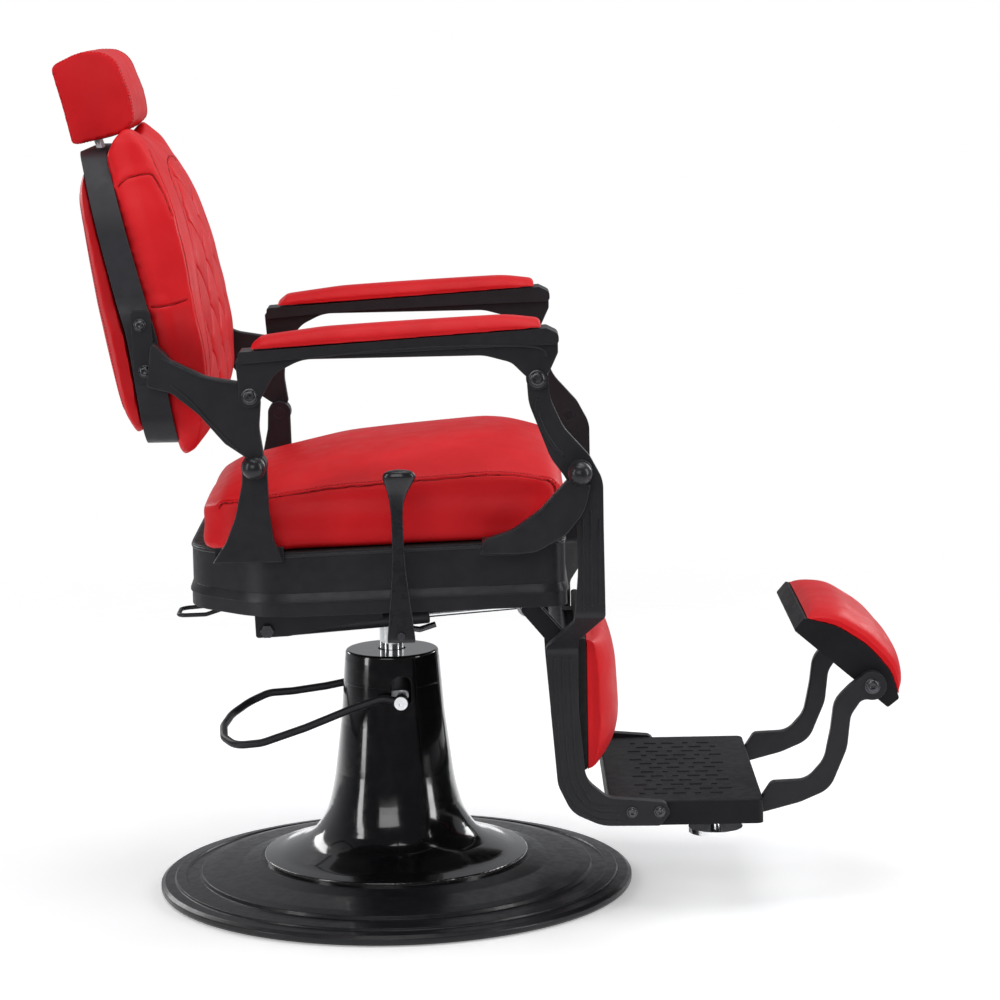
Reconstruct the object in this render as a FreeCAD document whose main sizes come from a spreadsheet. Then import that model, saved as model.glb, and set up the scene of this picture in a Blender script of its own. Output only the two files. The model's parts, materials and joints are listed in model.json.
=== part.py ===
import FreeCAD, Part
import math
import os
import Sketcher

# Hydraulic barber chair, millimetres.
# +X is the front of the chair, +Z is up, and the origin is on the floor at the axis of the lift.
# "right" and "left" are the sitter's: right is -Y, left is +Y.

V = FreeCAD.Vector
doc = FreeCAD.newDocument("barber_chair")
sheet = doc.addObject("Spreadsheet::Sheet", "Dims")

DIMENSIONS = {
    # pivots of the recline linkage, in the side plane
    "rear_pivot_x": -169, "rear_pivot_z": 652,
    "arm_pivot_x": -171, "arm_pivot_z": 749,
    "link_pivot_x": 210, "link_pivot_z": 766,
    "front_pivot_x": 265, "front_pivot_z": 639,
    "pin_r": 8, "pin_fit": 0.05, "open_pivot_gap": 2.4,
    # layers of the side plates, measured outwards from the middle
    "upright_in": 268, "link_in": 284, "lug_in": 300.4, "plate_thick": 15.6, "side_gap": 0.4,
    # base
    "base_r": 340, "gasket_r": 332, "gasket_wide": 14, "gasket_high": 4, "base_top": 42,
    # column
    "cover_top_r": 66, "cover_foot_r": 190, "cover_top_z": 344, "cover_split_z": 298,
    "cover_wall": 2.5, "cover_hole_r": 20,
    "cylinder_r": 34, "cylinder_top": 330, "ram_r": 17, "ram_bottom": 62, "ram_top": 414,
    "bearing_high": 8, "spigot_r": 10, "spigot_long": 80,
    # foot pedal
    "pedal_x": 14, "pedal_z": 283, "pedal_rod_r": 5.5, "pedal_half": 86, "stub_r": 6,
    # seat
    "box_front": 247, "box_rear": -273, "box_half": 262, "box_bottom": 441, "box_top": 536,
    "flange_r": 88, "flange_thick": 9, "band_high": 19, "seat_board_thick": 12,
    "cushion_front": 238, "cushion_rear": -256, "cushion_half": 254, "cushion_bottom": 534,
    # back
    "band_wide_low": 44, "band_wide_top": 35, "band_thick": 6, "band_half": 262,
    "back_board_thick": 8, "back_half": 257, "shell_half": 240, "lean_deg": 16.5,
    # headrest
    "headrest_half": 104, "headrest_bar_wide": 40, "headrest_bar_thick": 8,
    # armrests
    "armrest_mid": 300, "armrest_rail_wide": 52, "armrest_pad_wide": 66,
    # leg frame
    "leg_low_in": 200, "footplate_half": 199.8, "footplate_top": 161, "footplate_wall": 6,
    "footplate_low": 127, "foot_arm_in": 146.5, "foot_arm_thick": 15,
    # foot flap
    "flap_pivot_x": 671, "flap_pivot_z": 310, "flap_half": 145, "flap_chord": 172,
    "flap_rest_deg": 40.6, "flap_end": 22, "flap_rise": 24, "flap_wall": 5,
    # recline lever
    "lever_x": 23, "lever_z": 425, "lever_in": 321, "lever_thick": 8, "lever_shaft_r": 5,
    # gas spring
    "gas_rear_x": -171, "gas_rear_z": 391, "gas_front_x": 195, "gas_front_z": 418,
    "gas_y": -80, "gas_tube_r": 13, "gas_rod_r": 5,
}

for row, (alias, number) in enumerate(DIMENSIONS.items(), start=1):
    sheet.set("A%d" % row, alias)
    sheet.set("B%d" % row, str(number))
    sheet.setAlias("B%d" % row, alias)
doc.recompute()


class Size:
    """A number together with the sheet formula that gives it."""

    def __init__(self, value, formula):
        self.value = value
        self.formula = formula

    def __add__(self, other):
        other = as_size(other)
        return Size(self.value + other.value, "(%s + %s)" % (self.formula, other.formula))

    def __sub__(self, other):
        other = as_size(other)
        return Size(self.value - other.value, "(%s - %s)" % (self.formula, other.formula))

    def __mul__(self, factor):
        return Size(self.value * factor, "(%s * %.6g)" % (self.formula, factor))

    def __neg__(self):
        return self * -1

    def __rsub__(self, other):
        return as_size(other) - self

    __radd__ = __add__
    __rmul__ = __mul__


def as_size(item):
    if isinstance(item, Size):
        return item
    return Size(float(item), "%.6g" % item)


def d(alias):
    return Size(float(sheet.get(alias)), "Dims." + alias)


def number(item):
    return as_size(item).value


def bind(thing, name, item):
    """Set a property from a plain number, or bind it to the sheet."""
    if isinstance(item, Size):
        thing.setExpression(name, item.formula)
    elif "." not in name:
        setattr(thing, name, item)


def place(thing, x=0, y=0, z=0, rotation=None):
    thing.Placement = FreeCAD.Placement(V(number(x), number(y), number(z)),
                                        rotation or FreeCAD.Rotation())
    for axis, item in zip("xyz", (x, y, z)):
        bind(thing, "Placement.Base." + axis, item)


NODES = {}


def node(name, thing):
    thing.Label = name
    NODES[name] = thing
    return thing


SIDES = (("right", -1), ("left", 1))
PLANES = {
    "XY_Plane": FreeCAD.Rotation(),
    "XZ_Plane": FreeCAD.Rotation(V(1, 0, 0), 90),
    "YZ_Plane": FreeCAD.Rotation(V(1, 1, 1), 120),
}


# ---------------------------------------------------------------- sketches

def new_sketch(owner, name, plane):
    """A sketch on a body's origin plane, or a free one that lies in the same plane."""
    if owner is doc:
        sketch = doc.addObject("Sketcher::SketchObject", name)
        sketch.Placement = FreeCAD.Placement(V(0, 0, 0), PLANES[plane])
        return sketch
    sketch = owner.newObject("Sketcher::SketchObject", name)
    support = [item for item in owner.Origin.OriginFeatures if item.Role == plane][0]
    sketch.AttachmentSupport = (support, "")
    sketch.MapMode = "FlatFace"
    return sketch


def fix_point(sketch, geometry, end, x, y):
    for kind, item, axis in (("DistanceX", x, -2), ("DistanceY", y, -1)):
        if not isinstance(item, Size) and abs(item) < 1e-9:
            sketch.addConstraint(Sketcher.Constraint("PointOnObject", geometry, end, axis))
            continue
        index = sketch.addConstraint(Sketcher.Constraint(kind, geometry, end, number(item)))
        if isinstance(item, Size):
            sketch.setExpression("Constraints[%d]" % index, item.formula)


def draw_outline(sketch, corners):
    """A closed outline. Each corner is (x, y) or (x, y, radius of its rounding)."""
    count = len(corners)
    flat = [V(number(corner[0]), number(corner[1]), 0) for corner in corners]
    starts, ends, arcs = [], [], []
    for i, corner in enumerate(corners):
        here, before, after = flat[i], flat[i - 1], flat[(i + 1) % count]
        if len(corner) < 3:
            starts.append(here)
            ends.append(here)
            arcs.append(None)
            continue
        radius = number(corner[2])
        back = (before - here).normalize()
        ahead = (after - here).normalize()
        half = back.getAngle(ahead) / 2
        reach = radius / math.tan(half)
        centre = here + (back + ahead).normalize() * (radius / math.sin(half))
        first, last = here + back * reach, here + ahead * reach
        left_turn = back.cross(ahead).z < 0
        begin, finish = (first, last) if left_turn else (last, first)
        angles = [math.atan2((p - centre).y, (p - centre).x) for p in (begin, finish)]
        if angles[1] < angles[0]:
            angles[1] += 2 * math.pi
        circle = Part.Circle(centre, V(0, 0, 1), radius)
        arcs.append((Part.ArcOfCircle(circle, angles[0], angles[1]), left_turn))
        ends.append(first)
        starts.append(last)
    for i in range(count):
        run, whole = ends[(i + 1) % count] - starts[i], flat[(i + 1) % count] - flat[i]
        if run.dot(whole) <= 0:
            raise RuntimeError("%s: the roundings after corner %d overlap" % (sketch.Name, i))
        sketch.addGeometry(Part.LineSegment(starts[i], ends[(i + 1) % count]))
    for i, corner in enumerate(corners):
        line_in, line_out = (i - 1) % count, i
        if arcs[i] is None:
            sketch.addConstraint(Sketcher.Constraint("Coincident", line_in, 2, line_out, 1))
            fix_point(sketch, line_out, 1, corner[0], corner[1])
            continue
        arc, left_turn = arcs[i]
        arc_index = sketch.addGeometry(arc)
        near, far = (1, 2) if left_turn else (2, 1)
        sketch.addConstraint(Sketcher.Constraint("Tangent", line_in, 2, arc_index, near))
        sketch.addConstraint(Sketcher.Constraint("Tangent", arc_index, far, line_out, 1))
        radius_index = sketch.addConstraint(
            Sketcher.Constraint("Radius", arc_index, number(corner[2])))
        if isinstance(corner[2], Size):
            sketch.setExpression("Constraints[%d]" % radius_index, corner[2].formula)
        point_index = sketch.addGeometry(Part.Point(flat[i]), True)
        fix_point(sketch, point_index, 1, corner[0], corner[1])
        for line in (line_in, line_out):
            sketch.addConstraint(
                Sketcher.Constraint("PointOnObject", point_index, 1, line))


def draw_circles(sketch, circles):
    """Circles, each (x, y, radius)."""
    for x, y, radius in circles:
        centre = V(number(x), number(y), 0)
        index = sketch.addGeometry(Part.Circle(centre, V(0, 0, 1), number(radius)))
        fix_point(sketch, index, 3, x, y)
        radius_index = sketch.addConstraint(Sketcher.Constraint("Radius", index, number(radius)))
        if isinstance(radius, Size):
            sketch.setExpression("Constraints[%d]" % radius_index, radius.formula)


# ---------------------------------------------------------------- features of a body

def new_body(name, x=0, y=0, z=0, rotation=None):
    body = doc.addObject("PartDesign::Body", name)
    place(body, x, y, z, rotation)
    return node(name, body)


def pad(body, plane, length, corners=None, circles=()):
    """A pad centred on an origin plane of the body."""
    sketch = new_sketch(body, body.Name + "_sketch", plane)
    if corners:
        draw_outline(sketch, corners)
    draw_circles(sketch, circles)
    feature = body.newObject("PartDesign::Pad", body.Name + "_pad")
    feature.Profile = sketch
    feature.SideType = "Symmetric"
    bind(feature, "Length", length)
    doc.recompute()
    return feature


def pocket(body, plane, length, corners=None, circles=()):
    """A cut centred on an origin plane of the body."""
    before = body.Shape.Volume
    sketch = new_sketch(body, body.Name + "_cut_sketch", plane)
    if corners:
        draw_outline(sketch, corners)
    draw_circles(sketch, circles)
    feature = body.newObject("PartDesign::Pocket", body.Name + "_pocket")
    feature.Profile = sketch
    feature.SideType = "Symmetric"
    bind(feature, "Length", length)
    doc.recompute()
    if body.Shape.Volume > before - 1:
        raise RuntimeError(body.Label + ": a pocket cuts nothing")
    return feature


def revolve(body, corners):
    """A full turn of an outline (radius, height) about the body's Z axis."""
    sketch = new_sketch(body, body.Name + "_sketch", "XZ_Plane")
    draw_outline(sketch, corners)
    feature = body.newObject("PartDesign::Revolution", body.Name + "_turned")
    feature.Profile = sketch
    feature.ReferenceAxis = (sketch, ["V_Axis"])
    feature.Angle = 360
    doc.recompute()
    return feature


def soften(body, radius, chosen):
    """Round the edges of the body's last feature that the test chooses."""
    base = body.Tip
    names = ["Edge%d" % (i + 1) for i, edge in enumerate(base.Shape.Edges) if chosen(edge)]
    feature = body.newObject("PartDesign::Fillet", body.Name + "_rounding")
    feature.Base = (base, names)
    bind(feature, "Radius", radius)
    doc.recompute()
    return feature


def on_faces(axis, reach):
    """Choose the edges that lie in the two faces at plus and minus reach along an axis."""
    def chosen(edge):
        box = edge.BoundBox
        low, high = (box.YMin, box.YMax) if axis == "y" else (box.XMin, box.XMax)
        if axis == "z":
            low, high = box.ZMin, box.ZMax
        return high - low < 0.01 and abs(abs(low) - reach) < 0.01
    return chosen


def side_plate(name, corners, thick, middle, bosses=(), holes=(), rounding=0):
    """A flat casting in the side plane, with its bosses and its holes."""
    body = new_body(name, y=middle)
    pad(body, "XZ_Plane", thick, corners)
    if rounding:
        soften(body, rounding, on_faces("y", number(thick) / 2))
    for boss in bosses:
        pad(body, "XZ_Plane", thick, circles=[boss])
    if holes:
        pocket(body, "XZ_Plane", thick + 4, circles=holes)
    return body


# ---------------------------------------------------------------- Part objects

def slab(name, plane, corners, length, shift=0):
    """A free outline pulled out to both sides of its plane."""
    sketch = new_sketch(doc, name + "_sketch", plane)
    draw_outline(sketch, corners)
    normal = PLANES[plane].multVec(V(0, 0, 1))
    sketch.Placement.Base = normal * number(shift)
    solid = doc.addObject("Part::Extrusion", name)
    solid.Base = sketch
    solid.DirMode = "Custom"
    solid.Dir = normal
    solid.Symmetric = True
    solid.Solid = True
    bind(solid, "LengthFwd", length)
    doc.recompute()
    return solid


def join(kind, name, first, second):
    """Part::Common, Part::Cut or Part::Fuse of two objects."""
    result = doc.addObject("Part::" + kind, name)
    result.Base = first
    result.Tool = second
    doc.recompute()
    return result


def group(name, members):
    """Separate solids that share one node."""
    result = doc.addObject("Part::Compound", name)
    result.Links = members
    doc.recompute()
    return node(name, result)


def fuse(name, members):
    result = doc.addObject("Part::MultiFuse", name)
    result.Shapes = members
    doc.recompute()
    return result


def cylinder(name, radius, length, start, axis):
    """A cylinder of the given length from a start point along an axis."""
    result = doc.addObject("Part::Cylinder", name)
    bind(result, "Radius", radius)
    bind(result, "Height", length)
    place(result, *start, rotation=FreeCAD.Rotation(V(0, 0, 1), V(*axis)))
    doc.recompute()
    return result


def box(name, size, corner):
    result = doc.addObject("Part::Box", name)
    for prop, item in zip(("Length", "Width", "Height"), size):
        bind(result, prop, item)
    place(result, *corner)
    doc.recompute()
    return result


def hex_head(name, across, height, start, axis):
    result = doc.addObject("Part::Prism", name)
    result.Polygon = 6
    result.Circumradius = across / math.sqrt(3)
    result.Height = height
    place(result, *start, rotation=FreeCAD.Rotation(V(0, 0, 1), V(*axis)))
    doc.recompute()
    return result


def bent_rod(name, points, radius, bend):
    """A round rod along straight runs that tangent arcs join."""
    stops = [V(*[number(item) for item in point]) for point in points]
    edges = []
    start = stops[0]
    for before, here, after in zip(stops, stops[1:], stops[2:]):
        back = (before - here).normalize()
        ahead = (after - here).normalize()
        half = back.getAngle(ahead) / 2
        shorter = min((before - here).Length, (after - here).Length)
        reach = min(bend / math.tan(half), 0.45 * shorter)
        arc_radius = reach * math.tan(half)
        centre = here + (back + ahead).normalize() * (arc_radius / math.sin(half))
        first, last = here + back * reach, here + ahead * reach
        middle = centre + (here - centre).normalize() * arc_radius
        edges.append(Part.LineSegment(start, first).toShape())
        edges.append(Part.Arc(first, middle, last).toShape())
        start = last
    edges.append(Part.LineSegment(start, stops[-1]).toShape())
    spine = doc.addObject("Part::Feature", name + "_spine")
    spine.Shape = Part.Wire(edges)
    profile = doc.addObject("Part::Circle", name + "_profile")
    bind(profile, "Radius", radius)
    place(profile, *points[0], rotation=FreeCAD.Rotation(V(0, 0, 1), stops[1] - stops[0]))
    rod = doc.addObject("Part::Sweep", name)
    rod.Sections = [profile]
    rod.Spine = (spine, ["Edge%d" % (i + 1) for i in range(len(edges))])
    rod.Solid = True
    rod.Frenet = False
    doc.recompute()
    return rod


# ---------------------------------------------------------------- base and column

def make_base():
    plate = new_body("base_plate")
    rim = d("base_r")
    revolve(plate, [
        (0, 0), (105, 0, 3), (110, 30, 6), (d("gasket_r") - d("gasket_wide") - 120, 30, 20),
        (d("gasket_r") - d("gasket_wide") - 12, 11, 6), (d("gasket_r") - d("gasket_wide") - 12, 0),
        (d("gasket_r") - d("gasket_wide"), 0),
        (d("gasket_r") - d("gasket_wide"), d("gasket_high")),
        (d("gasket_r"), d("gasket_high")), (d("gasket_r"), 2), (rim - 2, 2),
        (rim, 5), (rim, 11, 2), (rim - 6, 15, 2), (rim - 20, 17, 2), (rim - 22, 20, 1),
        (rim - 36, 22, 1), (rim - 38, 19.5, 1), (rim - 56, 22, 1), (rim - 59, 27, 1.5),
        (rim - 74, 30, 3), (rim - 120, 36, 30), (d("cover_foot_r") + 6, d("base_top")),
        (0, d("base_top"))])
    gasket = new_body("floor_gasket")
    inner = d("gasket_r") - d("gasket_wide")
    revolve(gasket, [(inner + 0.2, 0), (d("gasket_r") - 0.2, 0),
                     (d("gasket_r") - 0.2, d("gasket_high")), (inner + 0.2, d("gasket_high"))])


def cover_profile(wall):
    """The flared cover's line from its top shoulder down to its foot, set in by a wall."""
    foot, top = d("cover_foot_r"), d("cover_top_r")
    return [(top + 1.5 - wall, 331), (top + 8 - wall, 250, 400), (top + 21 - wall, 150, 300),
            (top + 32 - wall, 108 - wall, 90), (top + 54 - wall, 74 - wall, 60),
            (foot - 22, 53 - wall, 60), (foot - wall, 48 - wall, 2)]


def make_covers():
    top_z, split, wall = d("cover_top_z"), d("cover_split_z"), d("cover_wall")
    outer, inner = cover_profile(0), cover_profile(wall)
    # one closed wall from the top opening to the foot
    shell = [(d("cover_hole_r"), top_z), (d("cover_hole_r"), top_z - wall),
             (d("cover_top_r") - wall, top_z - wall, 1.5)] + inner + \
            [(d("cover_foot_r") - wall, d("base_top")), (d("cover_foot_r"), d("base_top"))] + \
            list(reversed(outer)) + [(d("cover_top_r"), top_z, 4)]
    slot_x, slot_z = d("pedal_x"), d("pedal_z")
    for name, low, high in (("column_cover_lower", -100, split - 0.15),
                            ("column_cover_upper", split + 0.15, 600)):
        body = new_body(name)
        revolve(body, shell)
        # keep this piece's side of the joint line
        far = 700
        if name == "column_cover_lower":
            pocket(body, "XZ_Plane", far, [(-far, high), (far, high), (far, 900), (-far, 900)])
        else:
            pocket(body, "XZ_Plane", far, [(-far, 0), (far, 0), (far, low), (-far, low)])
        # slots on both sides for the pedal's shaft
        pocket(body, "XZ_Plane", far, [
            (slot_x - 14, slot_z - 11, 10), (slot_x + 14, slot_z - 11, 10),
            (slot_x + 14, slot_z + 33, 13), (slot_x - 14, slot_z + 33, 13)])


def make_pump():
    body = new_body("pump_cylinder")
    foot_z, top = d("base_top"), d("cylinder_top")
    outer = d("cylinder_r")
    revolve(body, [(0, foot_z), (80, foot_z), (80, foot_z + 10), (outer + 4, foot_z + 12),
                   (outer, foot_z + 20), (outer, top), (d("ram_r") + 3, top),
                   (d("ram_r") + 3, top - 31), (d("ram_r") + 1, top - 31),
                   (d("ram_r") + 1, foot_z + 14), (0, foot_z + 14)])
    pad(body, "XZ_Plane", 24, [(-66, foot_z + 5), (3 - outer, foot_z + 5),
                                 (3 - outer, 240), (-58, 240), (-66, 200)])
    bore = cylinder("plunger_bore", 5.3, 150, (-50, 0, 116), (0, 0, 1))
    cut = join("Cut", "pump_cylinder_bored", body, bore)
    NODES.pop("pump_cylinder")
    body.Label = "pump_casting"
    node("pump_cylinder", cut)
    plunger = new_body("pump_plunger")
    revolve(plunger, [(0, 150), (5.2, 150), (5.2, 268), (8, 270, 1), (8, 276, 1), (0, 276)])
    place(plunger, -50, 0, 0)
    bush = new_body("guide_bush")
    revolve(bush, [(d("ram_r") + d("pin_fit"), top - 30), (d("ram_r") + 3, top - 30),
                   (d("ram_r") + 3, top + 0.5), (d("ram_r") + 6, top + 0.5),
                   (d("ram_r") + 6, top + 5, 1), (d("ram_r") + d("pin_fit"), top + 5)])


def make_ram():
    body = new_body("lift_piston")
    top = d("ram_top")
    revolve(body, [(0, d("ram_bottom")), (d("ram_r"), d("ram_bottom")), (d("ram_r"), top),
                   (d("spigot_r") + d("pin_fit"), top),
                   (d("spigot_r") + d("pin_fit"), top - d("spigot_long") - 4),
                   (0, top - d("spigot_long") - 4)])
    bearing = new_body("thrust_bearing")
    revolve(bearing, [(d("spigot_r") + 2, top), (d("ram_r") + 2, top, 1.5),
                      (d("ram_r") + 2, top + d("bearing_high"), 1.5),
                      (d("spigot_r") + 2, top + d("bearing_high"))])


# ---------------------------------------------------------------- seat frame

MOUNT_BOLTS = [(x, y) for x in (-60, 60) for y in (-44, 44)]


def make_swivel_head():
    body = new_body("swivel_head")
    top, bottom = d("box_bottom") - 0.2, d("ram_top") + d("bearing_high") + 0.2
    under, flange = top - d("flange_thick"), d("flange_r")
    spigot_end = d("ram_top") - d("spigot_long")
    revolve(body, [(0, spigot_end), (d("spigot_r"), spigot_end), (d("spigot_r"), bottom),
                   (d("ram_r") + 5, bottom, 1), (d("ram_r") + 5, under, 4), (flange, under),
                   (flange, top), (0, top)])
    pocket(body, "XY_Plane", 2000, circles=[(x, y, 5.5) for x, y in MOUNT_BOLTS])
    bolts = []
    for x, y in MOUNT_BOLTS:
        tag = "mounting_bolt_%d_%d" % (x, y)
        shank = cylinder(tag + "_shank", 5, 22, (x, y, under - 2), (0, 0, 1))
        head = hex_head(tag + "_head", 17, 7, (x, y, under - 7.2), (0, 0, 1))
        bolts.append(fuse(tag, [head, shank]))
    group("mounting_bolts", bolts)


def seat_plan(inset):
    """The seat's outline from above: square at the front, a wide rounded back."""
    front, rear, half = d("box_front") - inset, d("box_rear") + inset, d("box_half") - inset
    return [(front, -half, 22), (front, half, 22), (-165, half, 120), (rear, 150, 110),
            (rear, -150, 110), (-165, -half, 120)]


def make_seat_box():
    bottom, top = d("box_bottom"), d("box_top")
    length = 2000
    rim = slab("box_rim", "XY_Plane", seat_plan(2), length)
    profile = slab("box_profile", "XZ_Plane", [
        (-300, bottom - 4), (300, bottom + 10), (300, top + 7), (-300, top - 13)], length)
    upper = join("Common", "box_upper", rim, profile)
    lower_plan = slab("box_band_plan", "XY_Plane", seat_plan(0), length)
    lower_profile = slab("box_band_profile", "XZ_Plane", [
        (-300, bottom - 4), (300, bottom + 10), (300, bottom + 10 + d("band_high")),
        (-300, bottom - 4 + d("band_high"))], length)
    lower = join("Common", "box_lower_band", lower_plan, lower_profile)
    solid = fuse("box_solid", [upper, lower])
    inner_plan = slab("box_inner_plan", "XY_Plane", seat_plan(5), length)
    inner_profile = slab("box_inner_profile", "XZ_Plane", [
        (-300, bottom - 1), (300, bottom + 13), (300, top + 60), (-300, top + 60)], length)
    inner = join("Common", "box_inside", inner_plan, inner_profile)
    shell = join("Cut", "box_shell", solid, inner)
    boss = cylinder("box_boss", d("flange_r"), 8, (0, 0, bottom), (0, 0, 1))
    drills = [cylinder("box_drill_%d_%d" % (x, y), 5.1, 60, (x, y, bottom - 20), (0, 0, 1))
              for x, y in MOUNT_BOLTS]
    node("seat_box", join("Cut", "seat_box", fuse("box_with_boss", [shell, boss]),
                          fuse("box_drills", drills)))
    board = slab("board_plan", "XY_Plane", seat_plan(5.2), length)
    board_profile = slab("board_profile", "XZ_Plane", [
        (-300, top - 12.6 - d("seat_board_thick")), (300, top + 7.4 - d("seat_board_thick")),
        (300, top + 7.4), (-300, top - 12.6)], length)
    node("seat_board", join("Common", "seat_board", board, board_profile))


def make_seat_cushion():
    front, rear = d("cushion_front"), d("cushion_rear")
    bottom, half = d("cushion_bottom"), d("cushion_half")
    side = slab("seat_cushion_side", "XZ_Plane", [
        (rear + 8, bottom - 8, 10), (front - 20, bottom + 7.5, 20), (front, 600, 60),
        (front - 4, 656, 24), (150, 672, 200), (-60, 650, 300), (rear + 34, 610, 40),
        (rear, 588, 16)], 1000)
    plan = slab("seat_cushion_plan", "XY_Plane", [
        (front, -half, 40), (front, half, 40), (rear, half, 95), (rear, -half, 95)], 2000)
    node("seat_cushion", join("Common", "seat_cushion", side, plan))


def make_seat_arms():
    ax, az = d("rear_pivot_x"), d("rear_pivot_z")
    dx, dz = d("front_pivot_x"), d("front_pivot_z")
    thick = d("plate_thick")
    for side, sign in SIDES:
        upright = side_plate(
            "rear_upright_" + side,
            [(ax - 17, az, 3), (ax - 18, az - 24, 30), (ax - 28, az - 70, 60),
             (ax - 42, az - 105, 30), (ax - 60, az - 132), (ax + 34, az - 132),
             (ax + 22, az - 100, 30), (ax + 17, az - 60, 60), (ax + 16, az, 3)],
            thick, (d("upright_in") + thick * 0.5) * sign,
            bosses=[(ax, az, 17)], holes=[(ax, az, d("pin_r"))], rounding=2)
        foot_in = d("box_half") - 2
        foot = box("upright_foot_" + side, (92, 9, 20),
                   (ax - 58, foot_in if sign > 0 else -(foot_in + 9), az - 134))
        NODES.pop("rear_upright_" + side)
        upright.Label = "upright_plate_" + side
        node("rear_upright_" + side, fuse("rear_upright_%s_solid" % side, [upright, foot]))
        horn = side_plate(
            "front_horn_" + side,
            [(dx - 135, dz - 108), (dx - 130, dz - 88, 12), (dx - 92, dz - 76, 60),
             (dx - 55, dz - 50, 60), (dx - 16, dz - 8, 10), (dx + 14, dz - 16, 4),
             (dx + 6, dz - 52, 60), (dx - 20, dz - 84, 50), (dx - 60, dz - 106, 30),
             (dx - 80, dz - 108)],
            thick, (d("lug_in") + thick * 0.5) * sign,
            bosses=[(dx, dz, 17)], holes=[(dx, dz, d("pin_r") + d("pin_fit"))], rounding=2)
        reach = d("lug_in") + 6 - d("box_half")
        start = (d("box_half") - 2) if sign > 0 else -(d("lug_in") + 4)
        root = box("horn_root_" + side, (50, reach, 18), (dx - 132, start, dz - 111))
        NODES.pop("front_horn_" + side)
        horn.Label = "horn_plate_" + side
        node("front_horn_" + side, fuse("front_horn_%s_solid" % side, [horn, root]))


def pivot_cap(name, x, z, sign, shank_from, cap_at, ball_r):
    """A pin through the side plates with a ball head on its outer end."""
    out = (0, sign, 0)
    length = cap_at - shank_from
    shank = cylinder(name + "_shank", d("pin_r"), length + 2, (x, shank_from * sign, z), out)
    skirt = cylinder(name + "_skirt", ball_r, 5, (x, cap_at * sign, z), out)
    ball = doc.addObject("Part::Sphere", name + "_ball")
    ball.Radius = ball_r
    place(ball, x, (cap_at + 5) * sign, z)
    keep = box(name + "_keep", (60, 40, 60),
               (x - 30, (cap_at + 2) * sign - (40 if sign < 0 else 0), z - 30))
    dome = join("Common", name + "_dome", ball, keep)
    return fuse(name, [shank, skirt, dome])


def make_pivot_caps():
    rear, front = [], []
    for side, sign in SIDES:
        rear.append(pivot_cap("rear_cap_" + side, d("rear_pivot_x"), d("rear_pivot_z"), sign,
                              d("upright_in"), d("link_in") + d("plate_thick") + 0.3, 16))
        front.append(pivot_cap("front_cap_" + side, d("front_pivot_x"), d("front_pivot_z"), sign,
                               d("link_in"), d("lug_in") + d("plate_thick") + 0.3, 16))
    group("rear_pivot_caps", rear)
    group("front_pivot_caps", front)


def make_under_seat():
    gx, gz, gy = d("gas_rear_x"), d("gas_rear_z"), d("gas_y")
    solids = []
    slope = 6.8 / 180  # the box's underside climbs this much towards the front
    for tag, offset, front in (("near", -16.5, 162), ("far", 16.5, 104)):
        cheek = slab("gas_cheek_" + tag, "XZ_Plane", [
            (gx - 16, gz - 10, 4), (gx - 18, gz + 45), (gx + front, gz + 45.6 + front * slope),
            (gx + front, gz + 16), (gx + 30, gz - 8, 10)], 5, shift=-(gy + offset))
        solids.append(cheek)
    solids.append(slab("gas_bracket_top", "XZ_Plane", [
        (gx - 18, gz + 41), (gx - 18, gz + 45.6), (gx + 104, gz + 45.6 + 104 * slope),
        (gx + 104, gz + 41 + 104 * slope)], 38, shift=-gy))
    bracket = fuse("gas_bracket", solids)
    eye = cylinder("gas_bracket_hole", 5, 60, (gx, gy - 30, gz), (0, 1, 0))
    bracket = join("Cut", "gas_bracket_drilled", bracket, eye)
    lx, lz = d("lever_x"), d("lever_z")
    shaft_hole = d("lever_shaft_r") + d("pin_fit")
    hangers = []
    for y in (-250, -125):
        hanger = slab("lever_hanger_%d" % -y, "XZ_Plane", [
            (lx - 14, lz + 17), (lx - 11, lz - 9, 8), (lx + 11, lz - 9, 8), (lx + 14, lz + 18)],
            8, shift=-y)
        hole = cylinder("lever_hole_%d" % -y, shaft_hole, 20, (lx, y - 10, lz), (0, 1, 0))
        hangers.append(join("Cut", "lever_hanger_drilled_%d" % -y, hanger, hole))
    group("under_seat_brackets", [bracket] + hangers)
    shank = cylinder("gas_anchor_shank", 5, 46, (gx, gy - 23, gz), (0, 1, 0))
    head = hex_head("gas_anchor_head", 17, 7, (gx, gy - 26, gz), (0, 1, 0))
    nut = hex_head("gas_anchor_nut", 17, 8, (gx, gy + 19, gz), (0, 1, 0))
    node("gas_anchor_bolt", fuse("gas_anchor_bolt_solid", [head, shank, nut]))
    handle = bent_rod("pull_handle_rod", [
        (-207, -36, 435), (-232, -36, 414), (-262, -34, 404), (-302, -28, 402),
        (-302, 28, 402), (-262, 34, 404), (-232, 36, 414), (-207, 36, 435)], 3, 14)
    node("rear_pull_handle", handle)


# ---------------------------------------------------------------- foot pedal

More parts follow.
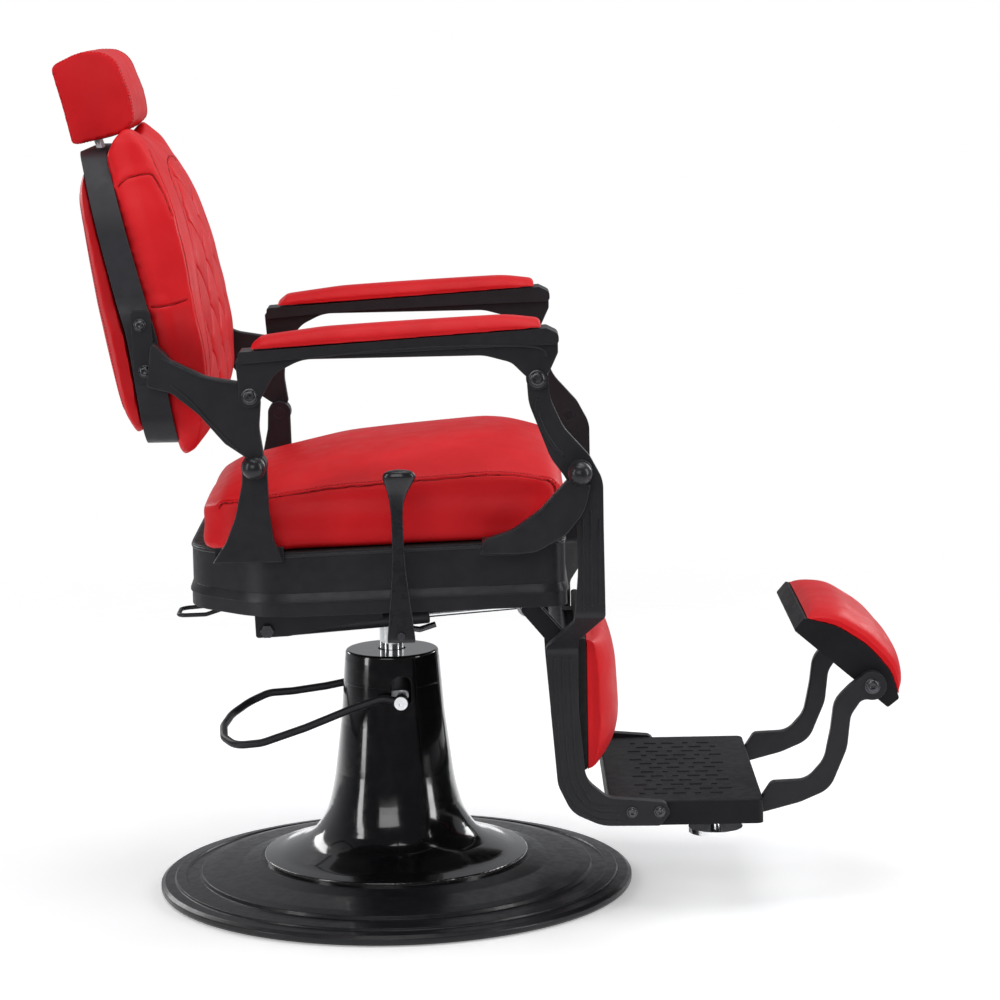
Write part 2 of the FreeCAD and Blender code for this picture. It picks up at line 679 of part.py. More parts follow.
def make_pedal():
    px, pz, half = d("pedal_x"), d("pedal_z"), d("pedal_half")
    loop = bent_rod("pedal_loop", [
        (px - 7.5, -half, pz + 1.5), (px - 26, -half, pz + 6), (-57, -half, 274), (-121, -half - 2, 249),
        (-184, -88, 228), (-222, -76, 222), (-241, -40, 226), (-245, 8, 232),
        (-236, 50, 240), (-212, 78, 252), (-184, 87, 263), (-149, 88, 265),
        (-100, half, 272), (px - 26, half, pz + 6), (px - 7.5, half, pz + 1.5)], d("pedal_rod_r"), 40)
    eyes = [loop]
    for side, sign in SIDES:
        eyes.append(cylinder("pedal_eye_" + side, 10, 13, (px, (half - 6.5) * sign, pz),
                             (0, sign, 0)))
    eye_solid = fuse("foot_pedal_eyes", eyes)
    bore = cylinder("pedal_eye_bore", d("stub_r"), 300, (px, -150, pz), (0, 1, 0))
    node("foot_pedal", join("Cut", "foot_pedal_drilled", eye_solid, bore))
    cheeks = []
    for side, sign in SIDES:
        cheek = slab("yoke_cheek_" + side, "XZ_Plane", [
            (px + 10, pz - 8, 7), (px + 10, pz + 8, 7), (px - 30, pz + 6), (-50, pz + 6),
            (-50, pz - 6), (px - 30, pz - 6)], 4, shift=-39.5 * sign)
        stub = cylinder("yoke_stub_" + side, d("stub_r"), half + 6.5 - 38, (px, 38 * sign, pz),
                        (0, sign, 0))
        cheeks += [cheek, stub]
    cheeks.append(box("yoke_bridge", (5, 81, 12), (-50, -40.5, pz - 6)))
    node("pedal_yoke", fuse("pedal_yoke_solid", cheeks))
    bolts = []
    for side, sign in SIDES:
        start = half + 6.6
        head = cylinder("pedal_bolt_head_" + side, 9.5, 5, (px, start * sign, pz), (0, sign, 0))
        socket = hex_head("pedal_bolt_socket_" + side, 6, 4, (px, (start + 2.5) * sign, pz),
                          (0, sign, 0))
        bolts.append(join("Cut", "pedal_bolt_" + side, head, socket))
    group("pedal_end_bolts", bolts)


# ---------------------------------------------------------------- recline lever

def make_lever():
    lx, lz = d("lever_x"), d("lever_z")
    middle = -(d("lever_in") + d("lever_thick") * 0.5)
    body = new_body("recline_lever", y=middle)
    pad(body, "XZ_Plane", d("lever_thick"), [
        (lx - 20, lz - 9, 3), (lx + 20, lz - 9, 3), (lx + 17, lz + 20, 20),
        (lx + 12, lz + 55, 60), (lx + 8, lz + 120, 60), (lx + 7, lz + 178),
        (lx - 3, lz + 178), (lx - 4, lz + 120, 60), (lx - 10, lz + 55, 60),
        (lx - 17, lz + 20, 20)])
    pocket(body, "XZ_Plane", d("lever_thick") + 4, circles=[(lx, lz, d("lever_shaft_r"))])
    knob = new_body("lever_knob", y=middle)
    pad(knob, "XZ_Plane", 15, [
        (lx - 7, lz + 160, 6), (lx + 11, lz + 160, 6), (lx + 14, lz + 185, 20),
        (lx + 26, lz + 197, 12), (lx + 26, lz + 224, 12), (lx - 22, lz + 224, 12),
        (lx - 22, lz + 197, 12), (lx - 9, lz + 185, 20)])
    pocket(knob, "XZ_Plane", d("lever_thick"), [
        (lx - 4.4, lz + 150), (lx + 8.4, lz + 150), (lx + 8.4, lz + 178.2), (lx - 4.4, lz + 178.2)])
    soften(knob, 2.5, on_faces("y", 7.5))
    shaft = cylinder("lever_shaft_bar", d("lever_shaft_r"), 226,
                     (lx, -(d("lever_in") + d("lever_thick") + 4), lz), (0, 1, 0))
    rod = bent_rod("release_rod", [
        (lx, -200, lz), (lx + 4, -200, lz - 13), (lx + 22, -200, lz - 16),
        (lx + 44, -200, lz - 9)], 4, 6)
    node("lever_shaft", fuse("lever_shaft_solid", [shaft, rod]))


# ---------------------------------------------------------------- gas spring

def make_gas_spring():
    gx, gz, gy = d("gas_rear_x"), d("gas_rear_z"), d("gas_y")
    hx, hz = d("gas_front_x"), d("gas_front_z")
    along = V(number(hx) - number(gx), 0, number(hz) - number(gz))
    length = along.Length
    axis = tuple(along.normalize())
    lie = FreeCAD.Rotation(V(0, 0, 1), V(*axis))

    def turned(name, corners):
        body = doc.addObject("PartDesign::Body", name)
        revolve(body, corners)
        place(body, gx, gy, gz, rotation=lie)
        return body

    tube = turned("gas_tube", [
        (0, 8), (8, 8), (8, 18), (d("gas_tube_r"), 22, 2), (d("gas_tube_r"), 228, 3),
        (d("gas_rod_r") + 0.08, 228), (d("gas_rod_r") + 0.08, 60), (0, 60)])
    eye = cylinder("gas_tube_eye", 11, 20, (gx, gy - 10, gz), (0, 1, 0))
    bore = cylinder("gas_tube_eye_bore", 5.08, 40, (gx, gy - 20, gz), (0, 1, 0))
    node("gas_spring_cylinder",
         join("Cut", "gas_spring_cylinder", fuse("gas_tube_eyed", [tube, eye]), bore))
    rod = turned("gas_rod", [(0, 70), (d("gas_rod_r"), 70), (d("gas_rod_r"), length - 12),
                             (0, length - 12)])
    rod_eye = cylinder("gas_rod_eye", 16, 12, (hx, gy - 6, hz), (0, 1, 0))
    rod_bore = cylinder("gas_rod_bore", 11, 40, (hx, gy - 20, hz), (0, 1, 0))
    node("gas_spring_rod",
         join("Cut", "gas_spring_rod", fuse("gas_rod_eyed", [rod, rod_eye]), rod_bore))


# ---------------------------------------------------------------- back

BACK_LINE = ((-290, 650), (-317, 828), (-395, 1086))   # middle of the hoop's strip, from the side


def back_offset(low_x, mid_x, top_x):
    """The hoop's middle line moved forward by the given amounts."""
    moves = (low_x, mid_x, top_x)
    return [(x + move, z) for (x, z), move in zip(BACK_LINE, moves)]


def hoop_front(inset, top_drop=0, bottom_rise=0):
    """The hoop seen from the front: upright sides that lean in to a narrow arched top."""
    half = d("band_half") - inset
    top = 1074 - inset - top_drop
    bottom = 677 + inset + bottom_rise
    return [(-half, bottom, 42), (half, bottom, 42), (half, 860, 90), (208 - inset, 985, 300),
            (128 - inset, top - 8, 40), (-128 + inset, top - 8, 40), (-208 + inset, 985, 300),
            (-half, 860, 90)]


def strip(name, before, after, length):
    """The hoop's side-view strip, given how far it reaches behind and before its middle line."""
    rear = back_offset(-before[0], -before[1], -before[2])
    front = back_offset(after[0], after[1], after[2])
    corners = [front[0], front[1] + (300,), front[2], rear[2], rear[1] + (300,), rear[0]]
    return slab(name, "XZ_Plane", corners, length)


def make_back_band():
    low, top = number(d("band_wide_low")) / 2, number(d("band_wide_top")) / 2
    side = strip("band_side", (low, 20, top), (low, 20, top), 1000)
    outer = slab("band_outer", "YZ_Plane", hoop_front(0), 2000)
    inner = slab("band_inner", "YZ_Plane", hoop_front(number(d("band_thick"))), 2100)
    ring = join("Cut", "band_ring", outer, inner)
    hoop = join("Common", "band_hoop", ring, side)
    slot = headrest_bar_block("band_slot", 0.6, 900, 1120)
    node("back_band", join("Cut", "back_band", hoop, slot))


def headrest_bar_block(name, clearance, low, high):
    """The straight run of the headrest bar between two heights, grown by a clearance."""
    wide = d("headrest_bar_wide") + 2 * clearance
    thick = number(d("headrest_bar_thick")) / 2 + clearance
    lean = math.tan(math.radians(number(d("lean_deg"))))

    def line(z):
        return -317 - 4 - (z - 828) * lean
    return slab(name, "XZ_Plane", [
        (line(low) - thick, low), (line(low) + thick, low),
        (line(high) + thick, high), (line(high) - thick, high)], wide)


def make_back_panels():
    inset = number(d("band_thick")) + 0.4
    thick = number(d("back_board_thick"))
    side = strip("back_board_side", (-8, -8, -8), (8 + thick, 8 + thick, 8 + thick), 1000)
    front = slab("back_board_front", "YZ_Plane", hoop_front(inset), 2000)
    node("back_board", join("Common", "back_board", side, front))
    tube = headrest_bar_block("socket_outer", 3, 870, 1050)
    hole = headrest_bar_block("socket_hole", 0.15, 860, 1060)
    node("headrest_socket", join("Cut", "headrest_socket", tube, hole))


def make_back_cushions():
    behind = [(x + 22.5, z) for x, z in BACK_LINE]
    side = slab("back_cushion_side", "XZ_Plane", [
        (-264.5, 658), (-238, 666, 26), (-219, 740, 150), (-221, 800, 150), (-242, 930, 250),
        (-268, 1018, 200), (-311, 1075, 100), (-338, 1096, 10), (-352, 1082, 10),
        (-364, 1066), behind[1]], 1000)
    half = d("back_half")
    shape = slab("back_cushion_front", "YZ_Plane", [
        (-half, 655, 60), (half, 655, 60), (half, 850, 100), (200, 985, 250), (120, 1110, 40),
        (-120, 1110, 40), (-200, 985, 250), (-half, 850, 100)], 2000)
    node("back_cushion", join("Common", "back_cushion", side, shape))
    rear_side = slab("rear_shell_side", "XZ_Plane", [
        (behind[1][0] - 45, 828), (-402, 1050, 5), (-413, 1036, 10), (-420, 1005, 30),
        (-406, 925, 300), (-369, 720, 100), (-344, 680, 10), (-318, 690)], 1000)
    shell_half = d("shell_half")
    rear_front = slab("rear_shell_front", "YZ_Plane", [
        (-shell_half, 680, 60), (shell_half, 680, 60), (shell_half, 850, 100),
        (188, 975, 250), (118, 1052, 40), (-118, 1052, 40), (-188, 975, 250),
        (-shell_half, 850, 100)], 2000)
    node("rear_shell_cushion", join("Common", "rear_shell_cushion", rear_side, rear_front))


def make_back_brackets():
    ax, az = d("rear_pivot_x"), d("rear_pivot_z")
    bx, bz = d("arm_pivot_x"), d("arm_pivot_z")
    thick = d("plate_thick")
    bolts = []
    for side, sign in SIDES:
        wing = side_plate("bracket_wing_" + side, [
            (ax - 12, az + 14, 6), (ax - 38, az + 32, 20), (ax - 72, az + 72, 40),
            (ax - 107, az + 101, 20), (ax - 140, az + 110, 4), (ax - 132, az + 170, 4),
            (ax - 108, az + 146, 20), (ax - 60, az + 122, 40), (bx + 6, bz + 14, 6),
            (bx + 13, bz - 10, 12), (ax + 8, az + 52, 60), (ax + 14, az + 10, 6)],
            thick, (d("link_in") + thick * 0.5) * sign,
            bosses=[(ax, az, 17), (bx, bz, 15)], rounding=2)
        NODES.pop("bracket_wing_" + side)
        web = slab("bracket_web_" + side, "XZ_Plane", [
            (ax - 136, az + 112), (ax - 108, az + 104, 8), (ax - 112, az + 148, 8),
            (ax - 131, az + 166)], d("link_in") + 6 - d("band_half"),
            shift=-number(d("link_in") + 6 + d("band_half")) / 2 * sign)
        plate = slab("bracket_plate_" + side, "XZ_Plane", [
            (ax - 158, az + 112, 6), (ax - 128, az + 112, 6), (ax - 135, az + 209, 6),
            (ax - 161, az + 209, 6)], 9, shift=-number(d("band_half") + 4.5) * sign)
        solid = fuse("bracket_solid_" + side, [wing, web, plate])
        drills = [
            cylinder("bracket_hole_a_" + side, d("pin_r") + d("pin_fit"), 60,
                     (ax, (d("link_in") - 20) * sign, az), (0, sign, 0)),
            cylinder("bracket_hole_b_" + side, d("pin_r"), 60,
                     (bx, (d("link_in") - 20) * sign, bz), (0, sign, 0)),
        ]
        drilled = join("Cut", "bracket_drilled_" + side, solid, fuse("drills_" + side, drills))
        node("back_bracket_" + side, drilled)
        for tag, x, z in (("low", ax - 144, az + 128), ("high", ax - 149, az + 190)):
            start = d("band_half") + 9.1
            bolts.append(hex_head("bracket_bolt_%s_%s" % (tag, side), 13, 6,
                                  (x, start * sign, z), (0, sign, 0)))
    group("bracket_bolts", bolts)
    pins = []
    for side, sign in SIDES:
        out = (0, sign, 0)
        shank = cylinder("armrest_pin_shank_" + side, d("pin_r"),
                         d("lug_in") + d("plate_thick") + 0.4 - d("link_in"),
                         (bx, d("link_in") * sign, bz), out)
        head = cylinder("armrest_pin_head_" + side, 11, 4,
                        (bx, (d("lug_in") + d("plate_thick") + 0.3) * sign, bz), out)
        pins.append(fuse("armrest_pin_" + side, [shank, head]))
    group("armrest_pins", pins)


# ---------------------------------------------------------------- headrest

def make_headrest():
    block = slab("headrest_side", "XZ_Plane", [
        (-419, 1072, 5), (-447, 1183, 12), (-404, 1202, 60), (-360, 1200, 34),
        (-338, 1140, 70), (-332, 1104, 18), (-352, 1088, 40)], d("headrest_half") * 2)
    bar_top = headrest_bar_block("headrest_bar_upper", 0, 880, 1130)
    foot_cut = headrest_bar_block("headrest_bar_pocket", 0.3, 1000, 1130.3)
    node("headrest_cushion", join("Cut", "headrest_cushion", block, foot_cut))
    node("headrest_bar", bar_top)


# ---------------------------------------------------------------- armrests

def make_armrests():
    bx, bz = d("arm_pivot_x"), d("arm_pivot_z")
    cx, cz = d("link_pivot_x"), d("link_pivot_z")
    thick = d("plate_thick")
    for side, sign in SIDES:
        middle = (d("lug_in") + thick * 0.5) * sign
        web = side_plate("armrest_web_" + side, [
            (bx - 14, bz - 2, 10), (bx - 17, bz + 34, 8), (bx - 18, bz + 50, 4),
            (cx + 15, cz + 67, 5), (cx + 28, cz + 60, 8), (cx + 28, cz + 34, 10),
            (cx + 15, cz + 6, 8), (cx - 14, cz + 2, 8), (cx - 34, cz + 22, 24),
            (cx - 70, cz + 32, 60), (bx + 70, bz + 48, 60), (bx + 34, bz + 30, 40),
            (bx + 15, bz - 4, 10)], thick, middle,
            bosses=[(bx, bz, 15), (cx, cz, 15)],
            holes=[(bx, bz, d("pin_r") + d("pin_fit")),
                   (cx, cz, d("pin_r") + d("open_pivot_gap"))], rounding=2)
        NODES.pop("armrest_web_" + side)
        rail = slab("armrest_rail_" + side, "XZ_Plane", [
            (bx - 14, bz + 44, 4), (bx - 13, bz + 60, 3), (cx + 13, cz + 68, 4),
            (cx + 29, cz + 60, 8), (cx + 29, cz + 46, 6), (cx - 60, cz + 44, 60),
            (bx + 120, bz + 54, 80)], d("armrest_rail_wide"),
            shift=-number(d("armrest_mid")) * sign)
        node("armrest_frame_" + side,
             fuse("armrest_frame_%s_solid" % side, [web, rail]))
        pad_side = slab("armrest_pad_side_" + side, "XZ_Plane", [
            (bx - 7, bz + 61.5, 4), (bx + 16, bz + 80, 14), (bx + 100, bz + 90, 300),
            (cx - 40, cz + 85, 200), (cx + 4, cz + 80, 8), (cx + 10, cz + 69.5, 2)],
            d("armrest_pad_wide"), shift=-number(d("armrest_mid")) * sign)
        node("armrest_pad_" + side, pad_side)


# ---------------------------------------------------------------- leg frame

def make_leg_frame():
    cx, cz = d("link_pivot_x"), d("link_pivot_z")
    dx, dz = d("front_pivot_x"), d("front_pivot_z")
    thick = number(d("plate_thick"))
    upper_in, low_in = number(d("link_in")), number(d("leg_low_in"))
    for side, sign in SIDES:
        outline = slab("leg_side_" + side, "XZ_Plane", [
            (cx - 14, cz - 2, 8), (cx - 12, cz + 14, 12), (cx + 13, cz + 14, 12),
            (cx + 17, cz - 30, 60), (cx + 34, cz - 68, 60), (cx + 68, cz - 106, 40),
            (cx + 86, cz - 140, 40), (296, 560, 60), (297, 440, 12), (262, 398, 12),
            (261, 300, 200), (270, 196, 30), (300, 170, 30), (380, 163, 12),
            (386, 148, 8), (372, 130, 8), (292, 131, 60), (250, 150, 40), (231, 190, 40),
            (223, 290, 200), (218, 385, 10), (255, 430, 12), (261, 500, 200),
            (260, 580, 100), (dx - 18, dz - 10, 40), (cx + 16, cz - 108, 60),
            (cx - 12, cz - 34, 60)], 2000)
        ribbon_corners = [
            (upper_in * sign, 800), ((upper_in + thick) * sign, 800),
            ((upper_in + thick) * sign, 442, 14), ((low_in + thick) * sign, 380, 14),
            ((low_in + thick) * sign, 100), (low_in * sign, 100),
            (low_in * sign, 386, 14), (upper_in * sign, 448, 14)]
        ribbon = slab("leg_ribbon_" + side, "YZ_Plane", ribbon_corners, 2000)
        arm = join("Common", "leg_casting_" + side, outline, ribbon)
        drills = [
            cylinder("leg_hole_c_" + side, d("pin_r"), 60, (cx, (d("link_in") - 20) * sign, cz),
                     (0, sign, 0)),
            cylinder("leg_hole_d_" + side, d("pin_r") + d("pin_fit"), 60,
                     (dx, (d("link_in") - 20) * sign, dz), (0, sign, 0)),
        ]
        node("leg_arm_" + side, join("Cut", "leg_arm_%s_solid" % side, arm,
                                     fuse("leg_drills_" + side, drills)))
    pins = []
    for side, sign in SIDES:
        out = (0, sign, 0)
        shank = cylinder("link_pin_shank_" + side, d("pin_r"),
                         d("lug_in") + d("plate_thick") + 0.6 - d("link_in"),
                         (cx, d("link_in") * sign, cz), out)
        head = cylinder("link_pin_head_" + side, 13, 4,
                        (cx, (d("lug_in") + d("plate_thick") + 0.5) * sign, cz), out)
        pins.append(fuse("link_pin_" + side, [shank, head]))
    group("link_pins", pins)


def make_leg_cross():
    hx, hz, gy = d("gas_front_x"), d("gas_front_z"), d("gas_y")
    tube = cylinder("cross_bar", 12, d("leg_low_in") * 2, (240, -d("leg_low_in"), 366), (0, 1, 0))
    arms = [tube]
    for tag, offset in (("near", -13), ("far", 8)):
        arms.append(slab("gas_arm_" + tag, "XZ_Plane", [
            (hx - 9, hz + 8, 7), (hx + 10, hz + 8, 7), (252, 372), (240, 352, 6),
            (226, 362, 6), (hx - 9, hz - 8, 7)], 5, shift=-(gy + offset + 2.5)))
    arms.append(cylinder("gas_arm_pin", 4.5, 30, (hx, gy - 15, hz), (0, 1, 0)))
    for y in (-130, 100):
        arms.append(box("calf_mount_%d" % abs(y), (17, 30, 20), (245, y, 356)))
    node("leg_cross_tube", fuse("leg_cross_tube_solid", arms))
    board = slab("calf_board_solid", "XZ_Plane", [
        (262, 205, 4), (262, 390, 4), (273, 390, 4), (273, 205, 4)], 380)
    node("calf_board", board)
    calf = slab("calf_pad_side", "XZ_Plane", [
        (273.5, 202, 6), (273.5, 394, 6), (305, 392, 16), (317, 340, 120), (322, 250, 120),
        (300, 200, 20)], 384)
    node("calf_pad", calf)


def make_footplate():
    half, top, wall = d("footplate_half"), d("footplate_top"), d("footplate_wall")
    low = d("footplate_low")
    body = new_body("footplate")
    sketch = new_sketch(body, "footplate_sketch", "XY_Plane")
    draw_outline(sketch, [(302, -half, 8), (516, -half, 10), (516, half, 10), (302, half, 8)])
    sketch.AttachmentOffset = FreeCAD.Placement(V(0, 0, number(low)), FreeCAD.Rotation())
    sketch.setExpression("AttachmentOffset.Base.z", low.formula)
    block = body.newObject("PartDesign::Pad", "footplate_block")
    block.Profile = sketch
    bind(block, "Length", top - low)
    doc.recompute()
    soften(body, 3, lambda edge: edge.BoundBox.ZMin > number(top) - 0.01)
    pocket(body, "XZ_Plane", half * 2 - wall * 2, [
        (302 + wall, low - 5), (516 - wall, low - 5), (516 - wall, top - wall),
        (302 + wall, top - wall)])
    bolts = []
    for side, sign in SIDES:
        for tag, x in (("rear", 333), ("front", 371)):
            start = d("leg_low_in") + d("plate_thick") + 0.1
            bolts.append(hex_head("footplate_bolt_%s_%s" % (tag, side), 14, 6,
                                  (x, start * sign, 150), (0, sign, 0)))
    group("footplate_bolts", bolts)


def make_foot_arms():
    fx, fz = d("flap_pivot_x"), d("flap_pivot_z")
    thick = d("foot_arm_thick")
    for side, sign in SIDES:
        middle = (d("foot_arm_in") + thick * 0.5) * sign
        side_plate("foot_arm_" + side, [
            (420, 154.6, 3), (516, 154.6, 4), (530, 176, 10), (580, 178, 30),
            (604, 205, 40), (613, 250, 60), (618, 290, 40), (640, 312, 20), (fx - 12, fz + 16, 8),
            (fx + 6, fz - 19, 4), (656, 290, 12), (641, 268, 30), (636, 222, 60),
            (612, 164, 40), (570, 146, 60), (520, 133, 20), (420, 133, 3)],
            thick, middle, bosses=[(fx, fz, 20)], rounding=2.5,
            holes=[(fx, fz, d("stub_r") + d("pin_fit"))])
    slots = []
    for side, sign in SIDES:
        low_y = d("foot_arm_in") * sign - (d("foot_arm_thick") + 0.4 if sign < 0 else 0.4)
        slots.append(box("arm_slot_" + side, (30, d("foot_arm_thick") + 0.8, 40),
                         (500, low_y, 116)))
    tray = NODES.pop("footplate")
    tray.Label = "footplate_tray"
    node("footplate", join("Cut", "footplate_slotted", tray, fuse("arm_slots", slots)))
    discs = []
    for side, sign in SIDES:
        y = (d("foot_arm_in") + thick * 0.5) * sign
        disc = cylinder("glide_disc_" + side, 38, 7, (452, y, 106), (0, 0, 1))
        stud = cylinder("glide_stud_" + side, 7, 26, (452, y, 107), (0, 0, 1))
        discs.append(fuse("glide_" + side, [disc, stud]))
    group("glide_discs", discs)


# ---------------------------------------------------------------- foot flap

def flap_local():
    """The flap's own frame: x runs down its flat face, y out to the cushion, from the hinge."""
    return FreeCAD.Rotation(V(0, 1, 0), number(d("flap_rest_deg")))


def make_flap():
    chord, end, rise = d("flap_chord"), d("flap_end"), d("flap_rise")
    upper = -(chord - 40)
    face = -11
    half, wall = d("flap_half"), d("flap_wall")
    tray = new_body("flap_tray", x=d("flap_pivot_x"), z=d("flap_pivot_z"), rotation=flap_local())
    arc_top = face + end + rise
    outline = [(upper, face, 3), (40, face, 3), (44, face + end - 2, 4),
               (10, arc_top - 4, 60), (-40, arc_top + 3, 120), (-90, arc_top - 4, 60),
               (upper, face + end, 3)]
    pad(tray, "XZ_Plane", half * 2, outline)
    pocket(tray, "XZ_Plane", half * 2 - wall * 2, [
        (upper + wall, face + wall), (40 - wall, face + wall), (40 - wall, 90),
        (upper + wall, 90)])
    pocket(tray, "XZ_Plane", half * 2 + 20, circles=[(0, 0, d("stub_r"))])
    cushion = new_body("flap_pad", x=d("flap_pivot_x"), z=d("flap_pivot_z"),
                       rotation=flap_local())
    lift = 0.4
    pad(cushion, "XZ_Plane", half * 2 - 2, [
        (upper + 1, face + end + lift, 3), (-90, arc_top - 4 + lift, 60),
        (-40, arc_top + 3 + lift, 120), (10, arc_top - 4 + lift, 60),
        (44, face + end - 2 + lift, 3), (42, arc_top, 10), (10, arc_top + 20, 60),
        (-40, arc_top + 28, 120), (-96, arc_top + 20, 60), (upper + 4, arc_top - 2, 14)])
    bolts = []
    for side, sign in SIDES:
        out = (0, sign, 0)
        inner = d("flap_half") - d("flap_wall")
        shank = cylinder("flap_bolt_shank_" + side, d("stub_r"),
                         d("foot_arm_in") + d("foot_arm_thick") + 0.5 - inner,
                         (d("flap_pivot_x"), inner * sign, d("flap_pivot_z")), out)
        head = cylinder("flap_bolt_head_" + side, 11, 4,
                        (d("flap_pivot_x"), (d("foot_arm_in") + d("foot_arm_thick") + 0.4) * sign,
                         d("flap_pivot_z")), out)
        bolts.append(fuse("flap_bolt_" + side, [shank, head]))
    group("flap_hinge_bolts", bolts)


make_base()
make_covers()
make_pump()
make_ram()
make_swivel_head()
make_seat_box()
make_seat_cushion()
make_seat_arms()
make_pivot_caps()
make_under_seat()
make_pedal()
make_lever()
make_gas_spring()
make_back_band()
make_back_panels()
make_back_cushions()
make_back_brackets()
make_headrest()
make_armrests()
make_leg_frame()
make_leg_cross()
make_footplate()
make_foot_arms()
make_flap()

# ---------------------------------------------------------------- checks and files

doc.recompute()
for thing in doc.Objects:
    if "Invalid" in thing.State or "Error" in thing.State:
        raise RuntimeError("%s did not compute: %s" % (thing.Label, thing.State))
for name, thing in NODES.items():
    if thing.Shape.isNull() or not thing.Shape.isValid():
        raise RuntimeError(name + ": its shape is empty or not valid")

os.makedirs("parts", exist_ok=True)
for name, thing in NODES.items():
    thing.Shape.exportStep("parts/%s.step" % name)
print(len(NODES), "nodes written")
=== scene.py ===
"""The looks of a hydraulic barber chair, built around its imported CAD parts.

Everything is in metres. +X is the chair's front, the near side is -Y, and the floor is z = 0.
Hard parts keep their CAD meshes and get finishes and fine raised detail. Each soft part is a
copy of its CAD solid, shaped, swollen by a cloth simulation, and then seamed and stitched.
"""
import json
import math

import bmesh
import bpy
import numpy as np
from mathutils import Matrix, Vector
from mathutils.bvhtree import BVHTree

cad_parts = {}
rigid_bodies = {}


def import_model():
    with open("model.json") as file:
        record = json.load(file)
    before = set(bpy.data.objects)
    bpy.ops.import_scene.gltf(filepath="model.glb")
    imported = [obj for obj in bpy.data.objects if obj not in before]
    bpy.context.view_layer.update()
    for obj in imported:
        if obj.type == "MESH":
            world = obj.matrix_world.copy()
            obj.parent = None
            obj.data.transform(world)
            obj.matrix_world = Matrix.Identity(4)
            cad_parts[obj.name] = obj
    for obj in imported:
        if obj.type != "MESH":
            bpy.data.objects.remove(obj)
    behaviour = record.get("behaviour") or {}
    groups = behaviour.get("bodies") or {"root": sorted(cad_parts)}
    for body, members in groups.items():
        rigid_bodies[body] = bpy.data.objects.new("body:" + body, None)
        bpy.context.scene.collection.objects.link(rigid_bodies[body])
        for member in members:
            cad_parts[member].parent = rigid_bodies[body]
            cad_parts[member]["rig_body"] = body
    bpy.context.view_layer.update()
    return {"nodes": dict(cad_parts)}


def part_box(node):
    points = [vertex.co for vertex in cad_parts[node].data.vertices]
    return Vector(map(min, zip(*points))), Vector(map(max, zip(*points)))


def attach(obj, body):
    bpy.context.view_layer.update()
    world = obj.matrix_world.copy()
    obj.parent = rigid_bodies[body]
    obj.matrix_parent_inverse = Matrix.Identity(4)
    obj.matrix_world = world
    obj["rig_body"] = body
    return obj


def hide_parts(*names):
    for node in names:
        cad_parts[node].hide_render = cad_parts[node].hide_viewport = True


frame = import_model()
NODES = frame["nodes"]
MM = 0.001
SIDES = (("right", -1), ("left", 1))
CLEAR = 0.6                # a ray starts this far out, well clear of the chair


# ---------------------------------------------------------------- camera, light and floor

def make_camera():
    data = bpy.data.cameras.new("camera")
    data.lens = 121.2
    data.sensor_width = 36
    data.clip_end = 100
    camera = bpy.data.objects.new("camera", data)
    place = (0.145, -4.739, 1.2908)
    yaw, pitch, roll = 0.0029, 0.1539, 0.0175
    turn = Matrix.Rotation(-yaw, 4, "Z") @ Matrix.Rotation(math.pi / 2 - pitch, 4, "X")
    camera.matrix_world = Matrix.Translation(place) @ turn @ Matrix.Rotation(-roll, 4, "Z")
    bpy.context.scene.collection.objects.link(camera)
    bpy.context.scene.camera = camera


def area_light(name, place, target, wide, high, watts):
    data = bpy.data.lights.new(name, "AREA")
    data.shape = "RECTANGLE"
    data.size, data.size_y = wide, high
    data.energy = watts
    light = bpy.data.objects.new(name, data)
    aim = Vector(target) - Vector(place)
    light.matrix_world = (Matrix.Translation(place)
                          @ aim.to_track_quat("-Z", "Y").to_matrix().to_4x4())
    bpy.context.scene.collection.objects.link(light)


def make_lights():
    middle = (0.1, 0, 0.65)
    area_light("light_top", (0.3, -0.2, 3.2), middle, 2.6, 2.2, 50)
    area_light("light_front", (-0.7, -3.9, 2.0), middle, 2.4, 1.8, 40)
    area_light("light_left", (-2.5, -1.3, 1.3), (0, 0, 0.6), 0.5, 2.4, 26)
    area_light("light_right", (2.7, -1.0, 1.4), (0.1, 0, 0.6), 0.6, 2.4, 36)
    area_light("light_back_left", (-1.9, 2.2, 1.7), middle, 0.8, 1.6, 22)
    area_light("light_back_right", (2.1, 2.2, 1.7), middle, 0.8, 1.6, 22)
    bpy.context.scene.view_settings.view_transform = "Standard"
    world = bpy.data.worlds.new("studio")
    bpy.context.scene.world = world
    world.use_nodes = True
    nodes, links = world.node_tree.nodes, world.node_tree.links
    seen = nodes.new("ShaderNodeLightPath").outputs["Is Camera Ray"]
    split = nodes.new("ShaderNodeSeparateXYZ")
    links.new(nodes.new("ShaderNodeTexCoord").outputs["Generated"], split.inputs[0])
    behind = nodes.new("ShaderNodeMapRange")
    behind.interpolation_type = "SMOOTHSTEP"
    behind.inputs["From Min"].default_value = -0.35
    behind.inputs["From Max"].default_value = 0.75
    links.new(split.outputs["Y"], behind.inputs["Value"])
    room = nodes.new("ShaderNodeMix")
    room.data_type = "RGBA"
    room.inputs["A"].default_value = (0.08, 0.082, 0.09, 1)
    room.inputs["B"].default_value = (0.36, 0.365, 0.38, 1)
    links.new(behind.outputs["Result"], room.inputs["Factor"])
    mix = nodes.new("ShaderNodeMix")
    mix.data_type = "RGBA"
    links.new(room.outputs["Result"], mix.inputs["A"])
    mix.inputs["B"].default_value = (1, 1, 1, 1)
    links.new(seen, mix.inputs["Factor"])
    links.new(mix.outputs["Result"], nodes["Background"].inputs["Color"])


